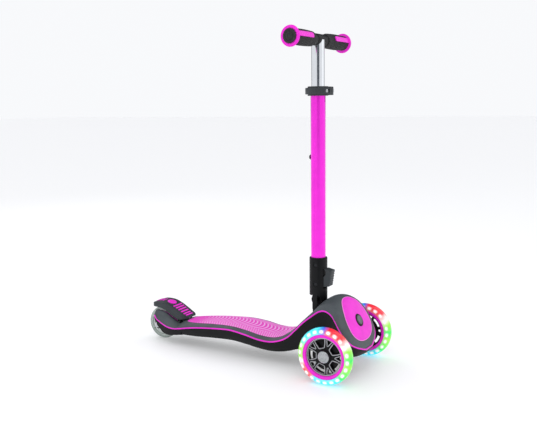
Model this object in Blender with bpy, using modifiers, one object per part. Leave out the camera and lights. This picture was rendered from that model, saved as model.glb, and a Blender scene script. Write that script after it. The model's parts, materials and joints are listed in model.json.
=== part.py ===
"""Three-wheeled folding kick scooter for a child.

Metres, +Z up, the front faces -Y.  The origin is on the floor, midway along the
scooter.  Distances along the scooter are first given from the front axle and
then moved by FRONT_AXLE_Y.
"""
from math import asin, cos, pi, radians, sin, sqrt

import bmesh
import bpy
from mathutils import Euler, Matrix, Vector

# ---------------------------------------------------------------- driving sizes
GAP = 0.0003                  # air between pieces that touch
WHEELBASE = 0.4926
TRACK = 0.2136                # between the front wheels' centre planes
FRONT_WHEEL_R = 0.0605
FRONT_WHEEL_W = 0.024
REAR_WHEEL_R = 0.040
REAR_WHEEL_W = 0.024
TYRE_DEPTH = 0.0132           # radial thickness of both kinds of tyre
RIM_BAND = 0.0067             # coloured band inside the front tyre
RIM_RING = 0.0035             # outer ring of the spoked hub
HUB_BOSS_WALL = 0.0035
HUB_CAP_THICK = 0.0022
BEARING_R = 0.011
BEARING_BORE_R = 0.0043
BEARING_W = 0.007
AXLE_R = 0.004
KINGPIN_X = 0.080
KINGPIN_R = 0.003
BEAM_HEIGHT = 0.017
BEAM_DEPTH = 0.016
LUG_THICK = 0.006
WEB_THICK = 0.004
STEER_ARM = 0.030             # kingpin to tie-rod joint, rearwards
TIE_ROD_R = 0.003
SHELL_T = 0.003               # wall of the grey deck frame
TRIM_R = 0.0010
TRIM_SLOT = 0.0032
MAT_T = 0.0014
MAT_MARGIN = 0.012            # grey band beside the tread
BADGE_T = 0.0014
BADGE_LENGTH = 0.098
BADGE_HALF_WIDTH = 0.051
BUTTON_R = 0.010
BEZEL_W = 0.004
BUTTON_PROUD = 0.003
BUTTON_TRAVEL = 0.004
NOSE_FLOOR = 0.0455           # flat underside of the nose
COVER_T = 0.0027
SCREW_R = 0.0016
ARM_INNER_X = 0.0168          # inner face of the rear arms
BRAKE_HALF_WIDTH = 0.024
BRAKE_PIN_R = 0.003
STEM_Y = 0.068                # behind the front axle
PIVOT_Z = 0.148
STEM_TUBE_R = 0.0158
STEM_TUBE_WALL = 0.0016
STEM_TOP = 0.603
TUBE_FOOT = 0.210
HOUSING_WALL = 0.0037
HOUSING_TOP = 0.242
TONGUE_HALF_WIDTH = 0.0085
FOLD_PIN_R = 0.004
LEVER_PIN_Z = 0.1847
LEVER_HALF_WIDTH = 0.0095
CLAMP_BOLT_Z = 0.2267
INNER_TUBE_R = 0.0137
INNER_TUBE_WALL = 0.0015
INNER_TUBE_FOOT = 0.330
HANDLEBAR_Z = 0.7004
CROSSBAR_R = 0.0115
GRIP_R = 0.0155
GRIP_START = 0.030
FLANGE_X = 0.1190
FLANGE_R = 0.0212
FLANGE_T = 0.0045
END_CAP_R = 0.0145
END_CAP_T = 0.0024
COLLAR_Z = 0.5955
COLLAR_HEIGHT = 0.0195
COLLAR_WALL = 0.006
BARREL_R = 0.003
HEIGHT_PIN_Z = 0.457
HEIGHT_STEP = 0.050
HEIGHT_PIN_R = 0.0035

# ---------------------------------------------------------------- derived places
FRONT_AXLE_Y = (FRONT_WHEEL_R - WHEELBASE - REAR_WHEEL_R) / 2
REAR_AXLE_Y = FRONT_AXLE_Y + WHEELBASE
STEM_WORLD_Y = FRONT_AXLE_Y + STEM_Y
WHEEL_X = TRACK / 2
HOUSING_R = STEM_TUBE_R + HOUSING_WALL
NOSE_LENGTH = 0.135           # from the front axle to the nose's foot
DECK_TAIL = WHEELBASE - 0.0776
BEAM_Z = FRONT_WHEEL_R

# ---------------------------------------------------------------- outline of the body
# One row for each cross-section from the nose's tip to its foot: the centre line
# (y, z), the trim line (x, y, z) and the lower edge (x, y, z).
NOSE_ROWS = [
    ((-0.0515, 0.0592), (0.0150, -0.0510, 0.0572), (0.0140, -0.0480, 0.0462)),
    ((-0.0492, 0.0650), (0.0330, -0.0482, 0.0630), (0.0300, -0.0445, 0.0458)),
    ((-0.0450, 0.0740), (0.0490, -0.0440, 0.0695), (0.0440, -0.0395, 0.0456)),
    ((-0.0380, 0.0910), (0.0620, -0.0385, 0.0775), (0.0530, -0.0320, 0.0455)),
    ((-0.0300, 0.1090), (0.0700, -0.0310, 0.0880), (0.0580, -0.0240, 0.0455)),
    ((-0.0190, 0.1290), (0.0728, -0.0215, 0.1000), (0.0600, -0.0150, 0.0455)),
    ((-0.0070, 0.1470), (0.0710, -0.0120, 0.1120), (0.0600, -0.0060, 0.0455)),
    ((0.0070, 0.1575), (0.0650, -0.0015, 0.1230), (0.0580, 0.0040, 0.0455)),
    ((0.0220, 0.1605), (0.0585, 0.0100, 0.1330), (0.0550, 0.0150, 0.0455)),
    ((0.0370, 0.1565), (0.0552, 0.0250, 0.1395), (0.0530, 0.0280, 0.0455)),
    ((0.0500, 0.1460), (0.0552, 0.0410, 0.1370), (0.0520, 0.0430, 0.0455)),
    ((0.0640, 0.1300), (0.0568, 0.0600, 0.1235), (0.0520, 0.0610, 0.0455)),
    ((0.0820, 0.1120), (0.0580, 0.0800, 0.1065), (0.0520, 0.0790, 0.0450)),
    ((0.0980, 0.0960), (0.0580, 0.0970, 0.0890), (0.0520, 0.0950, 0.0435)),
    ((0.1150, 0.0810), (0.0580, 0.1150, 0.0720), (0.0520, 0.1140, 0.0370)),
    ((NOSE_LENGTH, 0.0690), (0.0580, NOSE_LENGTH, 0.0610), (0.0520, NOSE_LENGTH, 0.0320)),
]
# The deck behind it: share of the way to the tail, centre z, trim x and z, lower x and z.
DECK_ROWS = [
    (0.09, 0.0632, 0.0580, 0.0550, 0.0510, 0.0290),
    (0.20, 0.0636, 0.0570, 0.0556, 0.0500, 0.0300),
    (0.33, 0.0690, 0.0560, 0.0618, 0.0490, 0.0345),
    (0.48, 0.0715, 0.0530, 0.0655, 0.0460, 0.0370),
    (0.67, 0.0695, 0.0500, 0.0610, 0.0440, 0.0340),
    (0.84, 0.0645, 0.0480, 0.0550, 0.0420, 0.0300),
    (1.00, 0.0590, 0.0452, 0.0462, 0.0400, 0.0280),
]
# The rear arms: y from the rear axle, outer x, trim z, lower z, inner top z.
ARM_ROWS = [
    (-0.0836, 0.0456, 0.0477, 0.0283, 0.0530),
    (-0.0626, 0.0436, 0.0432, 0.0245, 0.0505),
    (-0.0406, 0.0400, 0.0430, 0.0205, 0.0600),
    (-0.0226, 0.0360, 0.0470, 0.0230, 0.0700),
    (-0.0086, 0.0330, 0.0520, 0.0320, 0.0738),
    (0.0014, 0.0310, 0.0570, 0.0400, 0.0750),
    (0.0074, 0.0300, 0.0650, 0.0520, 0.0745),
]
ACROSS = 10                   # facets across the body
FINE = 32                     # facets round the wheels
MEDIUM = 22                   # facets round the tubes
COARSE = 14                   # facets round pins and bosses
SMALL = 10                    # facets round screws and bores

# ---------------------------------------------------------------- scene and materials
for old in list(bpy.data.objects):
    bpy.data.objects.remove(old, do_unlink=True)

SCOOTER = bpy.data.collections.new("kick_scooter")
CUTTERS = bpy.data.collections.new("cutters")
bpy.context.scene.collection.children.link(SCOOTER)
bpy.context.scene.collection.children.link(CUTTERS)


def material(name, colour, roughness, metallic):
    """A Principled material with one colour."""
    made = bpy.data.materials.new(name)
    made.use_nodes = True
    shader = made.node_tree.nodes["Principled BSDF"]
    shader.inputs["Base Color"].default_value = (*colour, 1.0)
    shader.inputs["Roughness"].default_value = roughness
    shader.inputs["Metallic"].default_value = metallic
    return made


MAGENTA = material("magenta_anodised", (0.90, 0.02, 0.80), 0.30, 0.60)
PINK = material("pink_plastic", (0.86, 0.03, 0.76), 0.45, 0.0)
BLACK = material("black_plastic", (0.012, 0.013, 0.014), 0.45, 0.0)
GREY = material("slate_grey_plastic", (0.08, 0.11, 0.12), 0.42, 0.0)
CHROME = material("chrome", (0.80, 0.82, 0.84), 0.08, 1.0)
STEEL = material("zinc_steel", (0.55, 0.56, 0.57), 0.32, 1.0)
RUBBER = material("black_rubber", (0.018, 0.018, 0.018), 0.8, 0.0)
SILVER = material("silver_plastic", (0.45, 0.48, 0.48), 0.3, 0.3)
CLEAR_FRONT = material("clear_light_up_tyre", (0.55, 0.85, 0.75), 0.15, 0.0)
CLEAR_REAR = material("clear_grey_tyre", (0.45, 0.50, 0.47), 0.2, 0.0)
WHITE = material("white_core", (0.70, 0.74, 0.74), 0.4, 0.0)


# ---------------------------------------------------------------- modelling helpers
def place(made, name, finish, home=SCOOTER):
    """Put an object in its collection with its finish."""
    made.name = name
    made.data.name = name
    home.objects.link(made)
    if home is CUTTERS:
        made.hide_render = True
        made.display_type = 'WIRE'
    elif finish is not None:
        made.data.materials.append(finish)
    return made


def from_bmesh(name, shape, finish, home=SCOOTER):
    """Make an object of a bmesh, with its faces pointing out."""
    bmesh.ops.recalc_face_normals(shape, faces=shape.faces)
    mesh = bpy.data.meshes.new(name)
    shape.to_mesh(mesh)
    shape.free()
    return place(bpy.data.objects.new(name, mesh), name, finish, home)


AXIS_TURN = {
    'X': Euler((0.0, pi / 2, 0.0)),
    'Y': Euler((-pi / 2, 0.0, 0.0)),
    'Z': Euler((0.0, 0.0, 0.0)),
}


def turned(name, profile, axis, centre, finish, segments=MEDIUM, closed=False, home=SCOOTER):
    """Turn a profile of (radius, height) about an axis; its outer side runs downwards."""
    mesh = bpy.data.meshes.new(name)
    edges = [(i, i + 1) for i in range(len(profile) - 1)]
    if closed:
        edges.append((len(profile) - 1, 0))
    mesh.from_pydata([(r, 0.0, h) for r, h in profile], edges, [])
    made = place(bpy.data.objects.new(name, mesh), name, finish, home)
    screw = made.modifiers.new("turn", 'SCREW')
    screw.axis = 'Z'
    screw.angle = 2 * pi
    screw.steps = segments
    screw.render_steps = segments
    screw.use_merge_vertices = True
    screw.merge_threshold = 0.00001
    made.location = centre
    made.rotation_euler = AXIS_TURN[axis] if isinstance(axis, str) else axis
    return made


def rod(name, radius, low, high, axis, centre, finish, segments=COARSE, edge=0.0, home=SCOOTER):
    """A plain round bar between two heights on its axis, with chamfered ends."""
    profile = [(0.0, high), (radius - edge, high), (radius, high - edge)]
    profile += [(radius, low + edge), (radius - edge, low), (0.0, low)]
    if edge == 0.0:
        profile = [(0.0, high), (radius, high), (radius, low), (0.0, low)]
    return turned(name, profile, axis, centre, finish, segments, home=home)


def ring(name, inner, outer, low, high, axis, centre, finish, segments=MEDIUM, edge=0.0,
         home=SCOOTER):
    """A round sleeve; edge chamfers its outer corners."""
    profile = [(outer, high), (outer, low), (inner, low), (inner, high)]
    if edge > 0.0:
        profile = [(outer - edge, high), (outer, high - edge), (outer, low + edge)]
        profile += [(outer - edge, low), (inner, low), (inner, high)]
    return turned(name, profile, axis, centre, finish, segments, closed=True, home=home)


def box(name, low, high, finish, bevel=0.0, home=SCOOTER):
    """A box between two corners, its edges rounded by bevel."""
    shape = bmesh.new()
    bmesh.ops.create_cube(shape, size=1.0)
    for vert in shape.verts:
        vert.co = Vector([low[i] + (vert.co[i] + 0.5) * (high[i] - low[i]) for i in range(3)])
    made = from_bmesh(name, shape, finish, home)
    if bevel > 0.0:
        soften(made, bevel)
    return made


def soften(made, width, segments=1, angle=40):
    """Round the edges of an object."""
    bevel = made.modifiers.new("edges", 'BEVEL')
    bevel.width = width
    bevel.segments = segments
    bevel.limit_method = 'ANGLE'
    bevel.angle_limit = radians(angle)
    return made


def boolean_with(made, tool, operation):
    """Collect a tool for one exact boolean on an object, so that all are done at once."""
    name = made.name + "_" + operation.lower()
    if name not in bpy.data.collections:
        tools = bpy.data.collections.new(name)
        CUTTERS.children.link(tools)
        boolean = made.modifiers.new(operation.lower(), 'BOOLEAN')
        boolean.operation = operation
        boolean.solver = 'EXACT'
        boolean.operand_type = 'COLLECTION'
        boolean.collection = tools
    bpy.data.collections[name].objects.link(tool)
    return made


def cut(made, tool):
    """Take a cutter's shape out of an object."""
    return boolean_with(made, tool, 'DIFFERENCE')


def join(made, tool):
    """Add a cutter-collection shape to an object."""
    return boolean_with(made, tool, 'UNION')


SIDE_VIEW = Euler((pi / 2, 0.0, pi / 2))      # a flat outline's x, y become world y, z


def plate(name, outlines, thickness, centre, turn, finish, home=SCOOTER):
    """Extrude flat closed outlines (the first outside, the others holes) both ways."""
    curve = bpy.data.curves.new(name, 'CURVE')
    curve.dimensions = '2D'
    curve.fill_mode = 'BOTH'
    curve.extrude = thickness / 2
    for outline in outlines:
        spline = curve.splines.new('POLY')
        spline.points.add(len(outline) - 1)
        for point, (across, up) in zip(spline.points, outline):
            point.co = (across, up, 0.0, 1.0)
        spline.use_cyclic_u = True
    flat = bpy.data.objects.new(name + "_outline", curve)
    bpy.context.scene.collection.objects.link(flat)
    flat.location = centre
    flat.rotation_euler = turn
    bpy.context.view_layer.update()
    evaluated = flat.evaluated_get(bpy.context.evaluated_depsgraph_get())
    mesh = bpy.data.meshes.new_from_object(evaluated)
    shape = bmesh.new()
    shape.from_mesh(mesh)
    bmesh.ops.remove_doubles(shape, verts=shape.verts, dist=0.000001)
    made = from_bmesh(name, shape, finish, home)
    made.matrix_world = flat.matrix_world.copy()
    bpy.data.objects.remove(flat, do_unlink=True)
    bpy.data.meshes.remove(mesh)
    return made


def wire(name, points, radius, finish, resolution=2, home=SCOOTER):
    """A round wire through points, with closed ends."""
    curve = bpy.data.curves.new(name, 'CURVE')
    curve.dimensions = '3D'
    curve.bevel_depth = radius
    curve.bevel_resolution = resolution
    curve.use_fill_caps = True
    spline = curve.splines.new('POLY')
    spline.points.add(len(points) - 1)
    for point, at in zip(spline.points, points):
        point.co = (*at, 1.0)
    return place(bpy.data.objects.new(name, curve), name, finish, home)


def coil(turns, radius, length, per_turn=8):
    """Points of a helix about Z, from height 0 to length."""
    count = int(turns * per_turn)
    points = []
    for i in range(count + 1):
        angle = 2 * pi * turns * i / count
        points.append(Vector((radius * cos(angle), radius * sin(angle), length * i / count)))
    return points


def grid_solid(name, upper, lower, finish, home=SCOOTER):
    """A closed solid between two grids of points with the same rows and columns."""
    shape = bmesh.new()
    top = [[shape.verts.new(p) for p in row] for row in upper]
    under = [[shape.verts.new(p) for p in row] for row in lower]
    rows = len(top)
    columns = len(top[0])
    for i in range(rows - 1):
        for j in range(columns - 1):
            shape.faces.new((top[i][j], top[i + 1][j], top[i + 1][j + 1], top[i][j + 1]))
            shape.faces.new((under[i][j], under[i][j + 1], under[i + 1][j + 1], under[i + 1][j]))
    for i in range(rows - 1):
        for j in (0, columns - 1):
            shape.faces.new((top[i][j], top[i + 1][j], under[i + 1][j], under[i][j]))
    for j in range(columns - 1):
        for i in (0, rows - 1):
            shape.faces.new((top[i][j], top[i][j + 1], under[i][j + 1], under[i][j]))
    bmesh.ops.triangulate(shape, faces=shape.faces, quad_method='SHORT_EDGE')
    return from_bmesh(name, shape, finish, home)


def ring_solid(name, rings, finish, home=SCOOTER, front_faces=None):
    """A closed solid lofted through rings of points; front_faces splits a stepped first end."""
    shape = bmesh.new()
    rows = [[shape.verts.new(p) for p in points] for points in rings]
    count = len(rows[0])
    for first, second in zip(rows, rows[1:]):
        for j in range(count):
            k = (j + 1) % count
            shape.faces.new((first[j], first[k], second[k], second[j]))
    for face in front_faces or [range(count)]:
        shape.faces.new([rows[0][j] for j in face])
    shape.faces.new(rows[-1])
    bmesh.ops.triangulate(shape, faces=shape.faces, quad_method='SHORT_EDGE')
    return from_bmesh(name, shape, finish, home)


# ---------------------------------------------------------------- the body's surface
def body_rows():
    """All cross-sections in world places, as flat lists of eight numbers."""
    rows = []
    for centre, trim, lower in NOSE_ROWS:
        rows.append([*centre, *trim, *lower])
    for share, centre_z, trim_x, trim_z, lower_x, lower_z in DECK_ROWS:
        y = NOSE_LENGTH + share * (DECK_TAIL - NOSE_LENGTH)
        rows.append([y, centre_z, trim_x, y, trim_z, lower_x, y, lower_z])
    for row in rows:
        for i in (0, 3, 6):
            row[i] += FRONT_AXLE_Y
    return rows


BODY = body_rows()
LAST_ROW = len(BODY) - 1


def section(s):
    """The cross-section at s, counted in rows, on a smooth curve through the rows."""
    i = min(max(int(s), 0), LAST_ROW - 1)
    t = s - i
    before = BODY[max(i - 1, 0)]
    start = BODY[i]
    end = BODY[i + 1]
    after = BODY[min(i + 2, LAST_ROW)]
    blended = []
    for a, b, c, d in zip(before, start, end, after):
        bend = 2 * b + (c - a) * t + (2 * a - 5 * b + 4 * c - d) * t * t
        bend += (3 * b - a - 3 * c + d) * t * t * t
        blended.append(bend / 2)
    return blended


def body_point(s, u):
    """A point on the body's top: u is 0 on the centre line and 1 on the +X trim line."""
    centre_y, centre_z, trim_x, trim_y, trim_z = section(s)[:5]
    drop = (1 - cos(pi * u / 2)) ** 1.15
    y = centre_y + (trim_y - centre_y) * drop
    z = centre_z + (trim_z - centre_z) * drop
    return Vector((trim_x * sin(pi * u / 2), y, z))


def body_normal(s, u):
    """The outward direction of the body's top, evened out across the sharp tip."""
    s = min(max(s, 0.02), LAST_ROW - 0.02)
    u = min(max(u, -0.97), 0.97) * min(s / 3, 1.0)
    along = body_point(s + 0.01, u) - body_point(s - 0.01, u)
    across = body_point(s, u + 0.01) - body_point(s, u - 0.01)
    return across.cross(along).normalized()


def lifted(s, u, lift):
    """A point above (or with a negative lift below) the body's top."""
    return body_point(s, u) + body_normal(s, u) * lift


def across_at(s, x):
    """The u that belongs to a distance x from the centre plane."""
    trim_x = section(s)[2]
    return asin(min(max(x / trim_x, -1.0), 1.0)) * 2 / pi


def row_at(y):
    """The s of a centre-line point behind the nose's crest, given its world y."""
    low = 8.0
    high = float(LAST_ROW)
    for _ in range(40):
        middle = (low + high) / 2
        if section(middle)[0] < y:
            low = middle
        else:
            high = middle
    return low


def trim_frame(s):
    """On the +X trim line: the point, outward, and the way down from it."""
    point = body_point(s, 1.0)
    step = 0.02 if s < LAST_ROW - 0.02 else -0.02
    path = (body_point(s + step, 1.0) - point) * (1 if step > 0 else -1)
    outward = body_normal(s, 1.0)
    down = path.cross(outward).normalized()
    return point, outward, down


BODY_STEPS = [float(i) for i in range(LAST_ROW + 1)]


def mirrored(points):
    """The same points on the other side of the centre plane, in reverse order."""
    return [Vector((-p.x, p.y, p.z)) for p in reversed(points)]


def arm_rows():
    """The rear arm's rows in world places."""
    return [(REAR_AXLE_Y + row[0], *row[1:]) for row in ARM_ROWS]


def arm_section(row):
    """A rear arm's top line: the trim point, the crown and the wheel-side edge."""
    y, outer, trim, lower, inner_top = row
    middle = Vector(((outer + ARM_INNER_X) / 2, y, (trim + inner_top) / 2 + 0.0012))
    return Vector((outer, y, trim)), middle, Vector((ARM_INNER_X, y, inner_top))


def on_side(side, rings):
    """The same rings on the left (1) or the right (-1)."""
    return [[Vector((side * p.x, p.y, p.z)) for p in points] for points in rings]


def arm_cover_rings():
    """The grey layer of a rear arm."""
    rings = []
    down = Vector((0.0, 0.0, -SHELL_T))
    for row in arm_rows():
        edge, middle, inner = arm_section(row)
        lip = edge + Vector((-SHELL_T - GAP, 0.0, 0.0))
        rings.append([edge, middle, inner, inner + down, middle + down, lip])
    return rings


def arm_core_rings():
    """The black layer of a rear arm, with its step behind the trim."""
    rings = []
    seat = SHELL_T + GAP
    down = Vector((0.0, 0.0, -seat))
    for row in arm_rows():
        edge, middle, inner = arm_section(row)
        lower = row[3]
        shelf = edge + Vector((0.0, 0.0, -TRIM_SLOT))
        step = shelf + Vector((-seat - GAP, 0.0, 0.0))
        lip = edge + Vector((-seat - GAP, 0.0, -0.0008))
        floor = [Vector((p.x, p.y, lower)) for p in (inner, middle, edge)]
        rings.append([shelf, step, lip, middle + down, inner + down, *floor])
    return rings


def arm_room_rings():
    """The space that a rear arm's grey layer takes out of the black deck."""
    rings = []
    down = Vector((0.0, 0.0, -SHELL_T - GAP))
    up = Vector((0.0, 0.0, 0.020))
    for row in arm_rows():
        edge, middle, inner = arm_section(row)
        edge.x += 0.002
        inner.x -= 0.002
        lip = edge + Vector((-SHELL_T - 2 * GAP - 0.002, 0.0, -0.0008))
        shelf = edge + Vector((0.0, 0.0, -0.0005))
        rings.append([edge + up, middle + up, inner + up, inner + down, middle + down, lip, shelf])
    first = [p + Vector((0.0, -GAP, 0.0)) for p in rings[0]]
    return [first] + rings[1:]


# ---------------------------------------------------------------- deck and nose
def make_deck_frame():
    """The grey upper shell, with its two arms."""
    us = [-1 + 2 * j / ACROSS for j in range(ACROSS + 1)]
    upper = [[lifted(s, u, 0.0) for u in us] for s in BODY_STEPS]
    lower = [[lifted(s, u, -SHELL_T) for u in us] for s in BODY_STEPS]
    frame = grid_solid("deck_frame", upper, lower, GREY)
    for side, label in ((1, "left"), (-1, "right")):
        rings = on_side(side, arm_cover_rings())
        join(frame, ring_solid("frame_arm_" + label, rings, None, CUTTERS))
    return frame


def make_deck_chassis():
    """The black lower body: nose, deck, steering pocket and rear arms."""
    us = [-1 + 2 * j / ACROSS for j in range(ACROSS + 1)]
    seat = SHELL_T + GAP
    rings = []
    for s in BODY_STEPS:
        lower_x, lower_y, lower_z = section(s)[5:]
        point, outward, down = trim_frame(s)
        wall_top = point + down * TRIM_SLOT
        step_in = wall_top - outward * seat
        side = [step_in, wall_top, Vector((lower_x, lower_y, lower_z))]
        top = [lifted(s, u, -seat) for u in us]
        floor_middle = [Vector((0.0, lower_y, lower_z))]
        rings.append(top + side + floor_middle + mirrored(side))
    step = len(us)                # index of the step behind the trim in each ring
    lip = [step + 1, step + 2, step + 3, step + 4, step + 5]
    shelf = [step, step + 1, step + 5, step + 6]
    back = [*range(step), step, step + 6]
    chassis = ring_solid("deck_chassis", rings, BLACK, front_faces=[lip, shelf, back])

    for side, label in ((1, "left"), (-1, "right")):
        rings = on_side(side, arm_core_rings())
        join(chassis, ring_solid("chassis_arm_" + label, rings, None, CUTTERS))
        outwards = Euler((0.0, side * pi / 2, 0.0))
        join(chassis, rod("axle_boss_" + label, 0.0095, ARM_INNER_X + 0.001, 0.0270, outwards,
                          (0.0, REAR_AXLE_Y, REAR_WHEEL_R), None, COARSE, home=CUTTERS))
        rings = on_side(side, arm_room_rings())
        cut(chassis, ring_solid("arm_room_" + label, rings, None, CUTTERS))
    last_steps = [s for s in BODY_STEPS if s > LAST_ROW - 3]
    upper = [[lifted(s, u, 0.010) for u in us] for s in last_steps]
    lower = [[lifted(s, u, -seat) for u in us] for s in last_steps]
    cut(chassis, grid_solid("deck_room", upper, lower, None, CUTTERS))
    return chassis


def make_trim():
    """The pink line around the body's edge, from one arm's tip to the other's."""
    inset = TRIM_R + 0.0002
    side = []
    for s in BODY_STEPS:
        point, outward, down = trim_frame(s)
        side.append(point + down * TRIM_SLOT / 2 - outward * inset)
    for y, outer, trim, _, _ in arm_rows()[:-2]:
        if y > FRONT_AXLE_Y + DECK_TAIL:
            side.append(Vector((outer - inset, y, trim - TRIM_SLOT / 2 - 0.0002)))
    left = [Vector((-p.x, p.y, p.z)) for p in reversed(side)]
    return wire("deck_trim", left + side, TRIM_R, PINK, 1)


def tread_grids(margin, top_lift, under_lift):
    """Grids of the tread's outline, widened by margin, at two heights."""
    start = row_at(FRONT_AXLE_Y + 0.119 - margin)
    end = row_at(FRONT_AXLE_Y + DECK_TAIL - 0.0085 + margin)
    upper = []
    lower = []
    rows = 9
    for i in range(rows + 1):
        share = i / rows
        s = start + (end - start) * share
        ends = min(share, 1 - share) * rows / 2
        rounding = 0.72 + 0.28 * sin(min(ends, 1.0) * pi / 2)
        half = (section(s)[2] - MAT_MARGIN) * rounding + margin
        us = [across_at(s, half * (-1 + 2 * j / 4)) for j in range(5)]
        upper.append([lifted(s, u, top_lift) for u in us])
        lower.append([lifted(s, u, under_lift) for u in us])
    return upper, lower


def badge_grids(margin, top_lift, under_lift, columns=6):
    """Grids of the egg-shaped panel on the nose's front."""
    upper = []
    lower = []
    top_row = 7.0
    foot_row = 1.95
    rows = 10
    for i in range(rows + 1):
        share = (1 - cos(pi * i / rows)) / 2
        s = top_row + (foot_row - top_row) * share
        s += (0.5 - share) * 2 * margin * 60
        egg = sqrt(max(1 - (2 * share - 1) ** 2, 0.0)) * (1 + 0.10 * (2 * share - 1))
        half = max(BADGE_HALF_WIDTH * egg, 0.006) + margin
        us = [across_at(s, half * (-1 + 2 * j / columns)) for j in range(columns + 1)]
        upper.append([lifted(s, u, top_lift) for u in us])
        lower.append([lifted(s, u, under_lift) for u in us])
    return upper, lower


BUTTON_S = 4.2
BUTTON_AT = body_point(BUTTON_S, 0.0)
BUTTON_AXIS = body_normal(BUTTON_S, 0.0)
BUTTON_TURN = BUTTON_AXIS.to_track_quat('Z', 'Y').to_euler()


def make_body():
    """Chassis, frame, tread, badge and trim, with the openings that others need."""
    frame = make_deck_frame()
    chassis = make_deck_chassis()
    make_trim()

    upper, lower = tread_grids(0.0, 0.0, -MAT_T)
    grid_solid("tread_mat", upper, lower, PINK)
    upper, lower = tread_grids(GAP, 0.004, -MAT_T - GAP)
    cut(frame, grid_solid("tread_recess", upper, lower, None, CUTTERS))

    upper, lower = badge_grids(0.0, 0.0, -BADGE_T)
    badge = grid_solid("badge_panel", upper, lower, PINK)
    upper, lower = badge_grids(GAP, 0.004, -BADGE_T - GAP)
    cut(frame, grid_solid("badge_recess", upper, lower, None, CUTTERS))

    bezel_r = BUTTON_R + BEZEL_W
    ledge = -SHELL_T - 0.0015 - GAP
    stepped = [(0.0, 0.010), (bezel_r + GAP, 0.010), (bezel_r + GAP, ledge),
               (BUTTON_R + GAP, ledge), (BUTTON_R + GAP, -0.0215), (0.0, -0.0215)]
    button_hole = turned("button_hole", stepped, BUTTON_TURN, BUTTON_AT, None, MEDIUM, home=CUTTERS)
    for made in (badge, frame, chassis):
        cut(made, button_hole)

    ring("button_bezel", BUTTON_R + GAP, bezel_r, -SHELL_T - 0.0015, 0.0012, BUTTON_TURN,
         BUTTON_AT, BLACK, MEDIUM, 0.0006)
    skirt = 0.0022
    cup = [(0.0, BUTTON_PROUD), (BUTTON_R - 0.0015, BUTTON_PROUD),
           (BUTTON_R, BUTTON_PROUD - 0.0010), (BUTTON_R, -0.0100), (BUTTON_R - skirt, -0.0100),
           (BUTTON_R - skirt, BUTTON_PROUD - 0.0025), (0.0, BUTTON_PROUD - 0.0025)]
    turned("lock_button", cup, BUTTON_TURN, BUTTON_AT, GREY, MEDIUM)
    spring_r = BUTTON_R - skirt - 0.0018
    spring_top = BUTTON_PROUD - 0.0025 - BUTTON_TRAVEL - 0.0008
    spring = wire("lock_spring", coil(4, spring_r, spring_top + 0.0200), 0.0006, STEEL, 0)
    spring.location = BUTTON_AT - BUTTON_AXIS * 0.0200
    spring.rotation_euler = BUTTON_TURN
    return frame, chassis, badge


# ---------------------------------------------------------------- front wheels and steering
def petal(middle, half_span, inner_r, outer_r):
    """A window in the spoked hub, as points around its edge."""
    outline = []
    for k in range(5):
        angle = middle - half_span + 2 * half_span * k / 4
        outline.append((outer_r * cos(angle), outer_r * sin(angle)))
    outline.append((inner_r * 1.5 * cos(middle + half_span * 0.55),
                    inner_r * 1.5 * sin(middle + half_span * 0.55)))
    outline.append((inner_r * cos(middle + 0.05), inner_r * sin(middle + 0.05)))
    outline.append((inner_r * cos(middle - 0.05), inner_r * sin(middle - 0.05)))
    outline.append((inner_r * 1.5 * cos(middle - half_span * 0.55),
                    inner_r * 1.5 * sin(middle - half_span * 0.55)))
    return outline


def circle(radius, count):
    """Points around a circle."""
    return [(radius * cos(2 * pi * i / count), radius * sin(2 * pi * i / count))
            for i in range(count)]


def rounded_tyre(inner, outer, width, crown):
    """A tyre's closed profile: flat sides and a crowned tread."""
    half = width / 2
    profile = [(inner, half)]
    steps = 6
    for i in range(steps + 1):
        angle = pi * i / steps
        profile.append((outer - crown + crown * sin(angle), half * cos(angle) * 0.98))
    profile.append((inner, -half))
    return profile


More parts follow.
